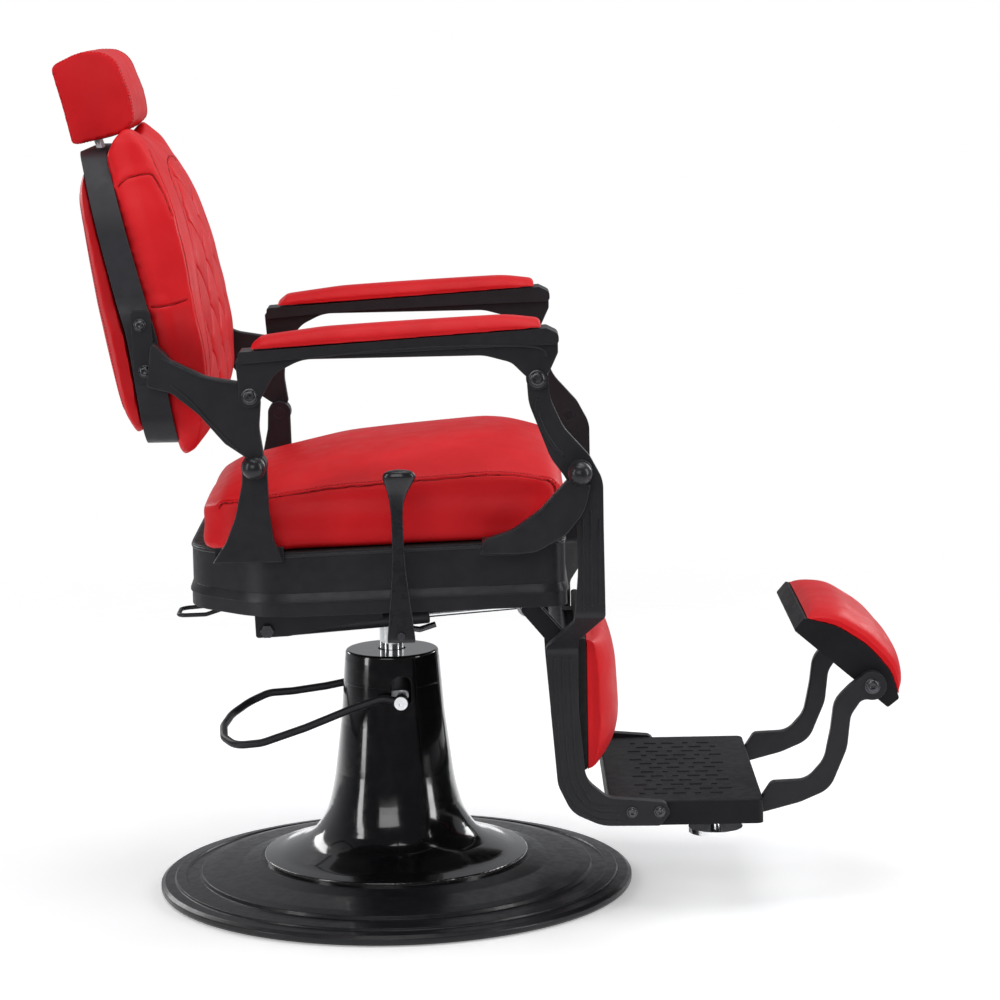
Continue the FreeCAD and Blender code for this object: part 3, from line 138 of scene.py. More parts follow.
def make_floor():
    """A pale disc that fades into the white surroundings, so that no horizon shows."""
    mesh = bpy.data.meshes.new("floor")
    form = bmesh.new()
    bmesh.ops.create_circle(form, cap_ends=True, segments=96, radius=3.5)
    form.to_mesh(mesh)
    form.free()
    floor = bpy.data.objects.new("floor", mesh)
    floor.location.z = -0.0004
    bpy.context.scene.collection.objects.link(floor)
    look = Look("floor_white", specular=0.2)
    look.colour(look.noise(0.6), (0.86, 0.86, 0.87), (0.9, 0.9, 0.9))
    look.drive("Roughness", look.noise(0.05), 0.5, 0.62)
    look.shader.inputs["Emission Color"].default_value = (1, 1, 1, 1)
    look.shader.inputs["Emission Strength"].default_value = 0.3
    distance = look.put("ShaderNodeVectorMath", operation="LENGTH")
    look.link(look.place, distance.inputs[0])
    share = look.span(distance.outputs["Value"], 0.9, 2.8, 1, 0)
    clear = look.put("ShaderNodeBsdfTransparent")
    blend = look.put("ShaderNodeMixShader")
    look.link(share, blend.inputs["Fac"])
    look.link(clear.outputs[0], blend.inputs[1])
    look.link(look.shader.outputs[0], blend.inputs[2])
    look.link(blend.outputs[0], look.tree.nodes["Material Output"].inputs["Surface"])
    mesh.materials.append(look.material)


# ---------------------------------------------------------------- materials

class Look:
    """A Principled shader whose inputs are driven by noise in the object's own space."""

    def __init__(self, name, **shader):
        self.material = bpy.data.materials.new(name)
        self.material.use_nodes = True
        self.tree = self.material.node_tree
        self.shader = self.tree.nodes["Principled BSDF"]
        sockets = {"metallic": "Metallic", "coat": "Coat Weight", "specular": "Specular IOR Level",
                   "coat_rough": "Coat Roughness"}
        for key, value in shader.items():
            self.shader.inputs[sockets[key]].default_value = value
        self.place = self.put("ShaderNodeTexCoord").outputs["Object"]
        self.surface = None
        self.edge = None

    def put(self, kind, **settings):
        node = self.tree.nodes.new(kind)
        for key, value in settings.items():
            setattr(node, key, value)
        return node

    def link(self, start, end):
        self.tree.links.new(start, end)

    def noise(self, size, detail=2.0, stretch=(1, 1, 1)):
        """Soft noise with features about size across, finer along an axis that is stretched."""
        grown = self.put("ShaderNodeVectorMath", operation="MULTIPLY")
        self.link(self.place, grown.inputs[0])
        grown.inputs[1].default_value = stretch
        node = self.put("ShaderNodeTexNoise")
        node.inputs["Scale"].default_value = 1 / size
        node.inputs["Detail"].default_value = detail
        self.link(grown.outputs[0], node.inputs["Vector"])
        return node.outputs["Fac"]

    def cells(self, size, feature="SMOOTH_F1"):
        node = self.put("ShaderNodeTexVoronoi", feature=feature)
        node.inputs["Scale"].default_value = 1 / size
        self.link(self.place, node.inputs["Vector"])
        return node.outputs["Distance"]

    def span(self, value, low, high, out_low, out_high):
        node = self.put("ShaderNodeMapRange", interpolation_type="SMOOTHSTEP")
        self.link(value, node.inputs["Value"])
        for socket, number in zip(("From Min", "From Max", "To Min", "To Max"),
                                  (low, high, out_low, out_high)):
            node.inputs[socket].default_value = number
        return node.outputs["Result"]

    def wear(self, result, kind, worn):
        """The result, running to worn along the edges that round_edges found."""
        if worn is None:
            return result
        mix = self.put("ShaderNodeMix", data_type=kind)
        self.link(self.edge, mix.inputs["Factor"])
        self.link(result, mix.inputs["A"])
        mix.inputs["B"].default_value = worn
        return mix.outputs["Result"]

    def drive(self, socket, value, low, high, worn=None):
        """The socket runs from low to high with the noise, and to worn along the edges."""
        result = self.span(value, 0.35, 0.65, low, high)
        self.link(self.wear(result, "FLOAT", worn), self.shader.inputs[socket])

    def colour(self, value, dark, light, worn=None):
        """The base colour runs from dark to light with the noise, and to worn along the edges."""
        mix = self.put("ShaderNodeMix", data_type="RGBA")
        self.link(self.span(value, 0.3, 0.7, 0, 1), mix.inputs["Factor"])
        mix.inputs["A"].default_value = (*dark, 1)
        mix.inputs["B"].default_value = (*light, 1)
        result = self.wear(mix.outputs["Result"], "RGBA", worn and (*worn, 1))
        self.link(result, self.shader.inputs["Base Color"])

    def round_edges(self, radius):
        """Softens sharp edges in the shading, and finds them for the wear."""
        bevel = self.put("ShaderNodeBevel", samples=4)
        bevel.inputs["Radius"].default_value = radius
        true = self.put("ShaderNodeNewGeometry").outputs["Normal"]
        match = self.put("ShaderNodeVectorMath", operation="DOT_PRODUCT")
        self.link(bevel.outputs["Normal"], match.inputs[0])
        self.link(true, match.inputs[1])
        self.edge = self.span(match.outputs["Value"], 0.995, 0.85, 0, 1)
        self.surface = bevel.outputs["Normal"]

    def bump(self, height, distance, strength):
        node = self.put("ShaderNodeBump")
        node.inputs["Distance"].default_value = distance
        node.inputs["Strength"].default_value = strength
        self.link(height, node.inputs["Height"])
        if self.surface is not None:
            self.link(self.surface, node.inputs["Normal"])
        self.surface = node.outputs["Normal"]
        self.link(self.surface, self.shader.inputs["Normal"])


def leather_look(name, dark, light):
    look = Look(name, specular=0.13, coat=0.01, coat_rough=0.4)
    look.colour(look.noise(0.09, 4), dark, light)
    look.drive("Roughness", look.noise(0.03, 4), 0.4, 0.48)
    look.bump(look.noise(0.035, 3), 0.0012, 0.25)
    look.bump(look.cells(0.0011, "F1"), 0.00012, 0.55)
    look.bump(look.noise(0.0006, 3), 0.00005, 0.6)
    return look.material


def coat_look(name, tone, rough, grain, depth, gloss=0.0, edge=0.0012, shine=0.28):
    """A powder coat with orange peel or sand grain, a little brighter and smoother on the edges.

    With edge 0, the shading of the edges is left as the mesh has it.
    """
    look = Look(name, specular=shine, coat=gloss, coat_rough=0.08)
    worn = smooth = None
    if edge:
        look.round_edges(edge)
        worn = tuple(2.6 * part + 0.01 for part in tone)
        smooth = rough - 0.08
    light = tuple(1.35 * part for part in tone)
    look.colour(look.noise(0.05, 4), tone, light, worn)
    look.drive("Roughness", look.noise(0.012, 3), rough, rough + 0.08, smooth)
    look.bump(look.noise(grain, 2), depth, 0.6)
    look.bump(look.cells(grain * 1.7), depth * 0.7, 0.35)
    return look.material


def metal_look(name, tone, rough, brush=(1, 1, 1), scratch=0.00002):
    look = Look(name, metallic=1.0)
    look.round_edges(0.0006)
    look.colour(look.noise(0.02, 4), tone, tuple(min(1, 1.1 * part) for part in tone),
                tuple(min(1, 1.2 * part + 0.03) for part in tone))
    look.drive("Roughness", look.noise(0.004, 4), rough, rough + 0.08, rough * 0.8)
    look.bump(look.noise(0.0012, 3, brush), scratch, 0.5)
    return look.material


def plywood_look():
    """Plywood painted black, with its grain just showing through."""
    look = Look("plywood", specular=0.3)
    look.round_edges(0.0008)
    look.colour(look.noise(0.006, 5, (1, 1, 14)), (0.006, 0.006, 0.006), (0.012, 0.011, 0.010),
                (0.04, 0.034, 0.028))
    look.drive("Roughness", look.noise(0.01), 0.6, 0.75)
    look.bump(look.noise(0.002, 4, (1, 8, 8)), 0.0002, 0.5)
    return look.material


def rubber_look():
    look = Look("rubber", specular=0.3)
    look.round_edges(0.001)
    look.colour(look.noise(0.02), (0.016, 0.016, 0.016), (0.026, 0.026, 0.026),
                (0.05, 0.05, 0.05))
    look.drive("Roughness", look.noise(0.004), 0.68, 0.82)
    look.bump(look.cells(0.0015), 0.0002, 0.5)
    return look.material


def make_finishes():
    """One material for each slot of the record, and a dark red one for the stitches, which also
    colours the seam cords that are painted shade.
    """
    ink = (0.0120, 0.0120, 0.0145)
    # tone, roughness, size and depth of the grain, clear coat, rounding of the edges, specular
    coats = {
        "base_black": ((0.006, 0.006, 0.0075), 0.3, 0.0011, 0.00005, 0.1),
        "gloss_black": ((0.003, 0.003, 0.0035), 0.12, 0.02, 0.0003, 1.0),
        "cap_black": (ink, 0.3, 0.0016, 0.00004, 0.15),
        "frame_black": (ink, 0.36, 0.0009, 0.00008),
        "cast_black": (ink, 0.4, 0.0008, 0.00016),
        "sheet_black": (ink, 0.34, 0.0014, 0.00005),
        "satin_black_band": ((0.017, 0.017, 0.0205), 0.4, 0.0012, 0.00004),
        "grip_black": (ink, 0.24, 0.0016, 0.00002, 0.3, 0),
        "footplate_black": ((0.007, 0.007, 0.0085), 0.5, 0.0009, 0.00008, 0.0, 0.0012, 0.16),
    }
    finishes = {name: coat_look(name, *values) for name, values in coats.items()}
    finishes.update({
        "rubber": rubber_look(),
        "bolt_black": metal_look("bolt_black", (0.085, 0.085, 0.092), 0.26),
        "chrome": metal_look("chrome", (0.78, 0.79, 0.8), 0.07),
        "steel": metal_look("steel", (0.55, 0.56, 0.58), 0.3, (1, 1, 12)),
        "cast_inner": metal_look("cast_inner", (0.16, 0.16, 0.17), 0.5, scratch=0.0001),
        "bronze": metal_look("bronze", (0.5, 0.31, 0.13), 0.34, (1, 1, 12)),
        "plywood": plywood_look(),
        "red_leather": leather_look("red_leather", (0.57, 0.0075, 0.0115), (0.64, 0.0115, 0.016)),
        # dark red of the stitches; the same material on the seam cords is painted shade for the
        # seams' shadows
        "thread_and_seam_shade": leather_look("thread_and_seam_shade", (0.16, 0.003, 0.005), (0.22, 0.005, 0.007)),
    })
    return finishes


# ---------------------------------------------------------------- mesh helpers

def new_object(name, mesh):
    obj = bpy.data.objects.new(name, mesh)
    bpy.context.scene.collection.objects.link(obj)
    return obj


def body_of(node):
    return NODES[node]["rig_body"]


def finish_piece(obj, body, finish, hides=()):
    """Gives a new piece its finish and its body, and hides the CAD nodes that it stands for."""
    obj.data.materials.clear()
    obj.data.materials.append(FINISH[finish])
    for face in obj.data.polygons:
        face.material_index = 0
    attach(obj, body)
    if hides:
        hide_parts(*hides)


def points_of(mesh):
    flat = np.empty(len(mesh.vertices) * 3)
    mesh.vertices.foreach_get("co", flat)
    return flat.reshape(-1, 3)


def set_points(mesh, points):
    mesh.vertices.foreach_set("co", np.ascontiguousarray(points, dtype=float).ravel())
    mesh.update()


def normals_of(mesh):
    mesh.update()
    flat = np.empty(len(mesh.vertices) * 3)
    mesh.vertex_normals.foreach_get("vector", flat)
    return flat.reshape(-1, 3)


def apply_modifiers(obj):
    view = bpy.context.evaluated_depsgraph_get()
    mesh = bpy.data.meshes.new_from_object(obj.evaluated_get(view))
    obj.modifiers.clear()
    obj.data = mesh
    return mesh


def shade_smooth(mesh):
    mesh.polygons.foreach_set("use_smooth", [True] * len(mesh.polygons))
    mesh.update()


def curve_through(corners, step, closed=False):
    """A smooth path through the corners, as evenly spaced points."""
    pins = [Vector(c) for c in corners]
    count = len(pins)
    spans = count if closed else count - 1
    dense = []
    for i in range(spans):
        a, b = pins[i], pins[(i + 1) % count]
        before = pins[i - 1] if closed or i else a + (a - b)
        after = pins[(i + 2) % count] if closed or i + 2 < count else b + (b - a)
        for k in range(24):
            t = k / 24
            dense.append(0.5 * ((2 * a) + (b - before) * t
                                + (2 * before - 5 * a + 4 * b - after) * t * t
                                + (3 * a - before - 3 * b + after) * t ** 3))
    dense.append(pins[0].copy() if closed else pins[-1].copy())
    line = np.array(dense)
    along = np.r_[0, np.cumsum(np.linalg.norm(np.diff(line, axis=0), axis=1))]
    marks = np.linspace(0, along[-1], max(4, round(along[-1] / step) + 1))
    if closed:
        marks = marks[:-1]
    return np.stack([np.interp(marks, along, line[:, k]) for k in range(3)], 1)


def solid(name, verts, faces):
    """A smooth-shaded object whose faces all look outward."""
    mesh = bpy.data.meshes.new(name)
    mesh.from_pydata(verts, [], faces)
    form = bmesh.new()
    form.from_mesh(mesh)
    bmesh.ops.recalc_face_normals(form, faces=form.faces)
    form.to_mesh(mesh)
    form.free()
    shade_smooth(mesh)
    return new_object(name, mesh)


def sweep(name, path, ups, profile, closed=False, tapered=False):
    """A solid that carries a closed cross-section, in (across, up) pairs, along a path."""
    path = np.asarray(path, float)
    count = len(path)
    ups = np.broadcast_to(np.asarray(ups, float), path.shape)
    if closed:
        ahead = np.roll(path, -1, 0) - np.roll(path, 1, 0)
    else:
        ahead = np.gradient(path, axis=0)
    ahead /= np.linalg.norm(ahead, axis=1, keepdims=True)
    across = np.cross(ahead, ups)
    across /= np.linalg.norm(across, axis=1, keepdims=True)
    up = np.cross(across, ahead)
    size = np.ones(count)
    if tapered:
        reach = max(abs(a) for a, _ in profile)
        along = np.r_[0, np.cumsum(np.linalg.norm(np.diff(path, axis=0), axis=1))]
        near_end = np.minimum(along, along[-1] - along) / reach
        size = np.sqrt(np.clip(1 - (1 - np.minimum(near_end, 1)) ** 2, 0.02, 1))
    ring = len(profile)
    verts = [tuple(path[i] + size[i] * (a * across[i] + b * up[i]))
             for i in range(count) for a, b in profile]
    faces = []
    for i in range(count if closed else count - 1):
        j = (i + 1) % count
        for k in range(ring):
            m = (k + 1) % ring
            faces.append((i * ring + k, i * ring + m, j * ring + m, j * ring + k))
    if not closed:
        faces.append(tuple(range(ring))[::-1])
        faces.append(tuple((count - 1) * ring + k for k in range(ring)))
    return solid(name, verts, faces)


def round_profile(radius, sides=12):
    return [(radius * math.cos(2 * math.pi * k / sides), radius * math.sin(2 * math.pi * k / sides))
            for k in range(sides)]


def bead_profile(wide, high, sides=8):
    """A low half-round, sunk a little into the surface that it stands on."""
    arc = [(wide / 2 * math.cos(math.pi * k / sides), high * math.sin(math.pi * k / sides))
           for k in range(sides + 1)]
    return arc + [(-wide / 2, -0.4 * MM), (wide / 2, -0.4 * MM)]


def joined(name, pieces):
    """Several objects made into one."""
    form = bmesh.new()
    for piece in pieces:
        form.from_mesh(piece.data)
    mesh = bpy.data.meshes.new(name)
    form.to_mesh(mesh)
    form.free()
    for piece in pieces:
        bpy.data.objects.remove(piece)
    shade_smooth(mesh)
    return new_object(name, mesh)


def surface_tree(obj):
    return BVHTree.FromPolygons([v.co for v in obj.data.vertices],
                                [tuple(p.vertices) for p in obj.data.polygons])


def onto_surface(tree, path):
    """The path laid on a surface, with the surface's normal at each point."""
    places, ups = [], []
    for point in path:
        hit, normal, _, _ = tree.find_nearest(Vector(point))
        places.append(tuple(hit))
        ups.append(tuple(normal))
    ups = np.array(ups)
    soft = np.array([ups[max(0, i - 2):i + 3].mean(0) for i in range(len(ups))])
    return np.array(places), soft / np.linalg.norm(soft, axis=1, keepdims=True)


# ---------------------------------------------------------------- soft goods

EVEN_ROUNDS = 12           # size-keeping smoothing after the remesh
CLOTH_FRAMES = 20
CLOTH_PRESSURE = 4.0
WRINKLE_ROUNDS = 45        # smoothing of the cloth's moves
SEAM_REACH = 0.04          # no seam moves a point further off than this


def padded_copy(node, name, voxel, shape, shrink, cap, rounds=5, still=None):
    """A soft copy of a CAD solid: evened, shaped, swollen as cloth under pressure, and refined."""
    obj = new_object(name, NODES[node].data.copy())
    remesh = obj.modifiers.new("even", "REMESH")
    remesh.mode = "VOXEL"
    remesh.voxel_size = voxel
    mesh = apply_modifiers(obj)
    points = points_of(mesh)
    smooth_points(mesh, points, EVEN_ROUNDS, (0.5, -0.52))
    smooth_points(mesh, points, rounds)
    points = shape(points)
    set_points(mesh, points)
    held = np.ones(len(points)) if still is None else still(points)
    points = points - normals_of(mesh) * shrink * held[:, None]
    set_points(mesh, points)
    swell(obj, cap, held)
    mesh = obj.data
    points = points_of(mesh)
    smooth_points(mesh, points, min(rounds, 2))
    set_points(mesh, points)
    finer = obj.modifiers.new("finer", "SUBSURF")
    finer.levels = finer.render_levels = 1
    mesh = apply_modifiers(obj)
    shade_smooth(mesh)
    return obj


def smooth_points(mesh, points, rounds, steps=(0.5,)):
    """Moves each point towards the middle of its neighbours, in place.

    Steps of 0.5 and -0.52 in turn keep the size.
    """
    edges = np.empty(len(mesh.edges) * 2, dtype=int)
    mesh.edges.foreach_get("vertices", edges)
    a, b = edges.reshape(-1, 2).T
    ends, others = np.r_[a, b], np.r_[b, a]
    count = np.maximum(np.bincount(ends, minlength=len(points)), 1)
    for step in steps * rounds:
        for k in range(3):
            total = np.bincount(ends, points[others, k], minlength=len(points))
            points[:, k] += step * (total / count - points[:, k])


def swell(obj, cap, held):
    """Runs the cloth under pressure, evens out its wrinkles, and scales its moves to the cap."""
    scene = bpy.context.scene
    start = points_of(obj.data)
    cloth = obj.modifiers.new("swell", "CLOTH")
    settings = cloth.settings
    settings.quality = 4
    settings.mass = 0.25
    settings.tension_stiffness = settings.compression_stiffness = 18
    settings.shear_stiffness = 8
    settings.bending_stiffness = 0.6
    settings.use_pressure = True
    settings.uniform_pressure_force = CLOTH_PRESSURE
    settings.effector_weights.gravity = 0
    cloth.collision_settings.use_collision = False
    cloth.point_cache.frame_start, cloth.point_cache.frame_end = 1, CLOTH_FRAMES
    for step in range(1, CLOTH_FRAMES + 1):
        scene.frame_set(step)
    view = bpy.context.evaluated_depsgraph_get()
    puffed = obj.evaluated_get(view).to_mesh()
    move = points_of(puffed) - start
    obj.modifiers.clear()
    scene.frame_set(1)
    smooth_points(obj.data, move, WRINKLE_ROUNDS)
    reach = np.linalg.norm(move, axis=1, keepdims=True)
    move *= cap / np.maximum(reach, np.percentile(reach, 95))
    set_points(obj.data, start + move * held[:, None])


def refine(obj, wanted):
    """Splits the edges whose first vertex is wanted, and the faces between them."""
    form = bmesh.new()
    form.from_mesh(obj.data)
    edges = [e for e in form.edges if wanted(e.verts[0])]
    bmesh.ops.subdivide_edges(form, edges=edges, cuts=1, use_grid_fill=True)
    form.to_mesh(obj.data)
    form.free()
    shade_smooth(obj.data)


def refine_near(obj, path, reach):
    """Splits the faces close to a path, so that a narrow seam can be cut there."""
    line = np.asarray(path)
    low, high = line.min(0) - reach, line.max(0) + reach
    refine(obj, lambda vert: all(low[k] < vert.co[k] < high[k] for k in range(3))
           and np.abs(line - np.array(vert.co)).sum(1).min() < 1.7 * reach)


def distance_to(points, line, block=4000):
    """Each point's distance to the nearest point of a dense line."""
    out = np.empty(len(points))
    for i in range(0, len(points), block):
        gap = points[i:i + block, None, :] - line[None, :, :]
        out[i:i + block] = np.sqrt((gap ** 2).sum(2)).min(1)
    return out


def sink_seam(obj, path, depth, wide, puff=0.0, puff_wide=0.012):
    """Draws the surface in along a path, and lets it rise softly on both sides of it."""
    refine_near(obj, path[::3], 2.6 * wide)
    mesh = obj.data
    points, normals = points_of(mesh), normals_of(mesh)
    line = np.asarray(path)
    low, high = line.min(0) - SEAM_REACH, line.max(0) + SEAM_REACH
    near = np.where(((points > low) & (points < high)).all(1))[0]
    gap = distance_to(points[near], line[::2])
    drop = depth * np.exp(-(gap / wide) ** 2) - puff * np.exp(-((gap - puff_wide) / puff_wide) ** 2)
    points[near] -= normals[near] * drop[:, None]
    set_points(mesh, points)


STITCH_PITCH, STITCH_LONG, STITCH_RADIUS, STITCH_LIFT = 4.6 * MM, 3.3 * MM, 0.42 * MM, 0.1 * MM


def stitches(name, places, ups):
    """A row of sewn stitches: small rounded bars that dip at both ends."""
    along = np.r_[0, np.cumsum(np.linalg.norm(np.diff(places, axis=0), axis=1))]
    marks = np.arange(STITCH_PITCH / 2, along[-1], STITCH_PITCH)
    verts, faces = [], []
    ring = 6
    shape = ((-0.5, 0.2), (-0.3, 0.9), (0, 1.0), (0.3, 0.9), (0.5, 0.2))
    for mark in marks:
        middle = np.array([np.interp(mark, along, places[:, k]) for k in range(3)])
        up = np.array([np.interp(mark, along, ups[:, k]) for k in range(3)])
        up /= np.linalg.norm(up)
        ahead = np.array([np.interp(mark + MM, along, places[:, k]) for k in range(3)]) - middle
        length = np.linalg.norm(ahead)
        if length < 1e-7:
            continue
        ahead /= length
        across = np.cross(up, ahead)
        first = len(verts)
        for share, size in shape:
            centre = (middle + ahead * share * STITCH_LONG
                      + up * (STITCH_LIFT + STITCH_RADIUS * (size - 0.6)))
            for k in range(ring):
                turn = 2 * math.pi * k / ring
                verts.append(tuple(centre + STITCH_RADIUS * size
                                   * (math.cos(turn) * across + math.sin(turn) * up)))
        for i in range(len(shape) - 1):
            for k in range(ring):
                a, b = first + i * ring + k, first + i * ring + (k + 1) % ring
                faces.append((a, b, b + ring, a + ring))
        faces.append(tuple(first + k for k in range(ring))[::-1])
        faces.append(tuple(first + (len(shape) - 1) * ring + k for k in range(ring)))
    mesh = bpy.data.meshes.new(name)
    mesh.from_pydata(verts, [], faces)
    shade_smooth(mesh)
    return new_object(name, mesh)


def sew(pad, name, path):
    """A row of stitches on a pad, as close as it can get to a path."""
    row = stitches(name, *onto_surface(surface_tree(pad), path))
    finish_piece(row, pad["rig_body"], "thread_and_seam_shade")


def seam_shade_cord(pad, name, path, radius):
    """A dark cord at the bottom of a seam: painted shade that stands in for the seam's shadow."""
    tree = surface_tree(pad)
    line = curve_through(onto_surface(tree, path)[0][::4], 1.2 * MM)
    cord = sweep(name, line, onto_surface(tree, line)[1], round_profile(radius, 8), tapered=True)
    finish_piece(cord, pad["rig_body"], "thread_and_seam_shade")


def welt(pad, name, path, radius):
    """A closed leather piping along a path on a pad, sunk by half its radius."""
    places, ups = onto_surface(surface_tree(pad), path)
    cord = sweep(name, places + ups * radius * 0.5, ups, round_profile(radius), closed=True)
    finish_piece(cord, pad["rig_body"], "red_leather")


def outline_at(tree, centre, first, second, count=120):
    """The closed outline where a surface meets the plane through centre along two directions."""
    first, second = Vector(first), Vector(second)
    loop = []
    for k in range(count):
        turn = 2 * math.pi * k / count
        ray = (math.cos(turn) * first + math.sin(turn) * second).normalized()
        start = Vector(centre) + ray * CLEAR
        hit = tree.ray_cast(start, -ray)[0]
        if hit is not None:
            loop.append(tuple(hit))
    return np.array(loop)


# ---------------------------------------------------------------- seat cushion

SEAT_SEAM = [(-0.251, 0.594), (-0.246, 0.612), (-0.224, 0.623), (-0.200, 0.617), (-0.156, 0.614),
             (-0.080, 0.617), (-0.021, 0.621), (0.045, 0.628), (0.130, 0.636), (0.190, 0.640),
             (0.212, 0.637), (0.234, 0.628), (0.246, 0.611), (0.250, 0.588)]


def make_seat_cushion():
    low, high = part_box("seat_cushion")
    half = high.y
    base = low.z + 0.012

    def shape(points):
        """A crown across the seat, and corners that turn in from above."""
        out = points.copy()
        x, y, z = points.T
        rise = np.clip((z - base) / (high.z - base), 0, 1)
        side = np.abs(y) / half
        out[:, 2] -= rise ** 1.5 * 0.040 * side ** 2.3
        bulge = np.sin(np.pi * np.clip((z - low.z) / 0.09, 0, 1))
        out[:, 1] -= np.sign(y) * side ** 6 * (0.006 - 0.005 * bulge)
        front = np.clip((x - high.x + 0.07) / 0.07, 0, 1) ** 2
        out[:, 0] += 0.014 * front * np.sin(np.pi * np.clip((z - low.z) / 0.135, 0, 1)) ** 0.7
        out[:, 2] -= 0.006 * front * rise ** 2
        return out

    def still(points):
        return np.clip((points[:, 2] - base) / 0.02, 0, 1)

    pad = padded_copy("seat_cushion", "seat_pad", 5 * MM, shape, 4 * MM, 7 * MM, still=still)
    finish_piece(pad, body_of("seat_cushion"), "red_leather", hides=["seat_cushion"])
    for side, sign in SIDES:
        rim = curve_through([(x, sign * (half - 0.004), z) for x, z in SEAT_SEAM], 1.5 * MM)
        places, _ = onto_surface(surface_tree(pad), rim)
        sink_seam(pad, places, 3.0 * MM, 1.5 * MM, 0.7 * MM, 7 * MM)
        above, _ = onto_surface(surface_tree(pad), places + [0, -sign * 0.0045, 0.004])
        sink_seam(pad, above, 1.3 * MM, 1.3 * MM)
        sew(pad, "seat_stitches_" + side, above)
        # a dark cord in the seam: painted shade for the seam's shadow
        seam_shade_cord(pad, "seat_seam_shade_" + side, places, 0.9 * MM)


# ---------------------------------------------------------------- back cushions

PANEL_EDGE = [(0.0, 1.052), (0.060, 1.046), (0.100, 1.028), (0.126, 0.996), (0.148, 0.950),
              (0.172, 0.905), (0.196, 0.860), (0.212, 0.800), (0.214, 0.740), (0.196, 0.700)]
BOLSTER_SEAM = [(-0.297, 1.077), (-0.274, 1.040), (-0.256, 0.984), (-0.243, 0.933),
                (-0.236, 0.864), (-0.229, 0.830), (-0.224, 0.790), (-0.231, 0.730)]
ARCH_SEAM = [(-0.356, 0.20, 1.032), (-0.329, 0.19, 1.049), (-0.302, 0.19, 1.053),
             (-0.279, 0.19, 1.040), (-0.263, 0.20, 1.014), (-0.254, 0.21, 0.990)]
CROSS_SEAM = [(-0.306, 0.27, 0.868), (-0.278, 0.27, 0.876), (-0.252, 0.27, 0.885)]
DIAMOND_WIDE, DIAMOND_HIGH = 0.104, 0.118
TUFT_MIDDLE_Z = 0.862


def half_width(z):
    """Half the back cushion's width at each height, for its rounded sides."""
    return np.interp(z, [0.66, 0.70, 0.86, 0.985, 1.06, 1.10],
                     [0.225, 0.252, 0.255, 0.2, 0.15, 0.1])


def back_rear(z):
    """Where the back cushion's flat rear lies at each height."""
    return np.interp(z, [0.65, 0.828, 1.086], [-0.2675, -0.2945, -0.3725])


def back_shape(points):
    """Crowns the block across its whole width, up to a soft corner at each side."""
    out = points.copy()
    x, y, z = points.T
    rear = back_rear(z)
    corner = np.interp(z, [0.66, 0.78, 0.83, 0.87, 0.93, 0.984, 1.05],
                       [0.80, 0.86, 0.85, 0.83, 0.82, 0.82, 0.80])
    share = np.clip(np.abs(y) / half_width(z), 0, 1)
    keep = 1 - (1 - corner) * share ** 2.2
    forward = x > rear
    out[forward, 0] = (rear + (x - rear) * keep)[forward]
    tuck = np.clip(1 - (x - rear) / 0.018, 0, 1) * np.clip((1.066 - z) / 0.012, 0, 1)
    out[:, 0] -= 0.009 * tuck
    out[:, 1] *= 1 - 0.012 * tuck
    lift = np.clip((z - 1.02) / 0.05, 0, 1) ** 2
    out[:, 2] += lift * (0.001 + 0.010 * np.clip(np.abs(y) / 0.09, 0, 1) ** 2)
    return out


def panel_half(z, below):
    """Half the quilted panel's width at each height; below is its value under the panel."""
    wide, level = zip(*PANEL_EDGE[::-1])
    return np.interp(z, level, wide, left=below, right=0.0)


def tuft(points, normals):
    """How far the centre panel's quilting moves each point along its normal."""
    x, y, z = points.T
    inside = (np.clip((panel_half(z, 0.15) - np.abs(y)) / 0.022, 0, 1)
              * np.clip((z - 0.69) / 0.03, 0, 1))
    inside *= np.clip((normals[:, 0] - 0.25) / 0.3, 0, 1)
    s = y / DIAMOND_WIDE + (z - TUFT_MIDDLE_Z) / DIAMOND_HIGH
    t = y / DIAMOND_WIDE - (z - TUFT_MIDDLE_Z) / DIAMOND_HIGH
    crease = np.minimum(np.abs(s - np.round(s)), np.abs(t - np.round(t)))
    pillow = (np.abs(np.sin(np.pi * s)) * np.abs(np.sin(np.pi * t))) ** 0.45
    near_button = ((s - np.round(s)) ** 2 + (t - np.round(t)) ** 2)
    dip = np.exp(-near_button / 0.02)
    line = np.exp(-(crease / 0.02) ** 2)
    return inside * (5.5 * MM * pillow - 4.5 * MM - 7 * MM * dip - 1.2 * MM * line)


def make_back_cushion():
    def still(points):
        """The rear edge stays where it is clamped, inside the hoop."""
        return np.clip((points[:, 0] - back_rear(points[:, 2]) - 0.004) / 0.022, 0, 1)

    pad = padded_copy("back_cushion", "back_pad", 5 * MM, back_shape, 6 * MM, 6 * MM, still=still)
    finish_piece(pad, body_of("back_cushion"), "red_leather", hides=["back_cushion"])
    refine(pad, lambda vert: vert.normal.x > 0.35 and abs(vert.co.y) < 0.22)
    tree = surface_tree(pad)
    seams = []
    for side, sign in SIDES:
        for tag, corners in (
                ("panel_seam", [(-0.2, y, z) for y, z in PANEL_EDGE]),
                ("bolster_seam", [(x, 0.95 * half_width(z), z) for x, z in BOLSTER_SEAM]),
                ("arch_seam", ARCH_SEAM),
                ("cross_seam", CROSS_SEAM)):
            line = curve_through([(x, sign * y, z) for x, y, z in corners], 1.5 * MM)
            if tag == "panel_seam":
                places = np.array([tuple(tree.ray_cast(Vector((CLEAR, q[1], q[2])),
                                                       Vector((-1, 0, 0)))[0]) for q in line])
            else:
                places, _ = onto_surface(tree, line)
            places = curve_through(places[::12], 1.5 * MM)
            sink_seam(pad, places, 2.8 * MM, 1.5 * MM, 0.7 * MM, 7 * MM)
            seams.append((tag + "_" + side, places))
    mesh = pad.data
    points, normals = points_of(mesh), normals_of(mesh)
    set_points(mesh, points + normals * tuft(points, normals)[:, None])
    make_buttons(pad)
    # dark cords in the seams: painted shade for the seams' shadows
    for name, places in seams:
        seam_shade_cord(pad, name, places, 0.75 * MM)


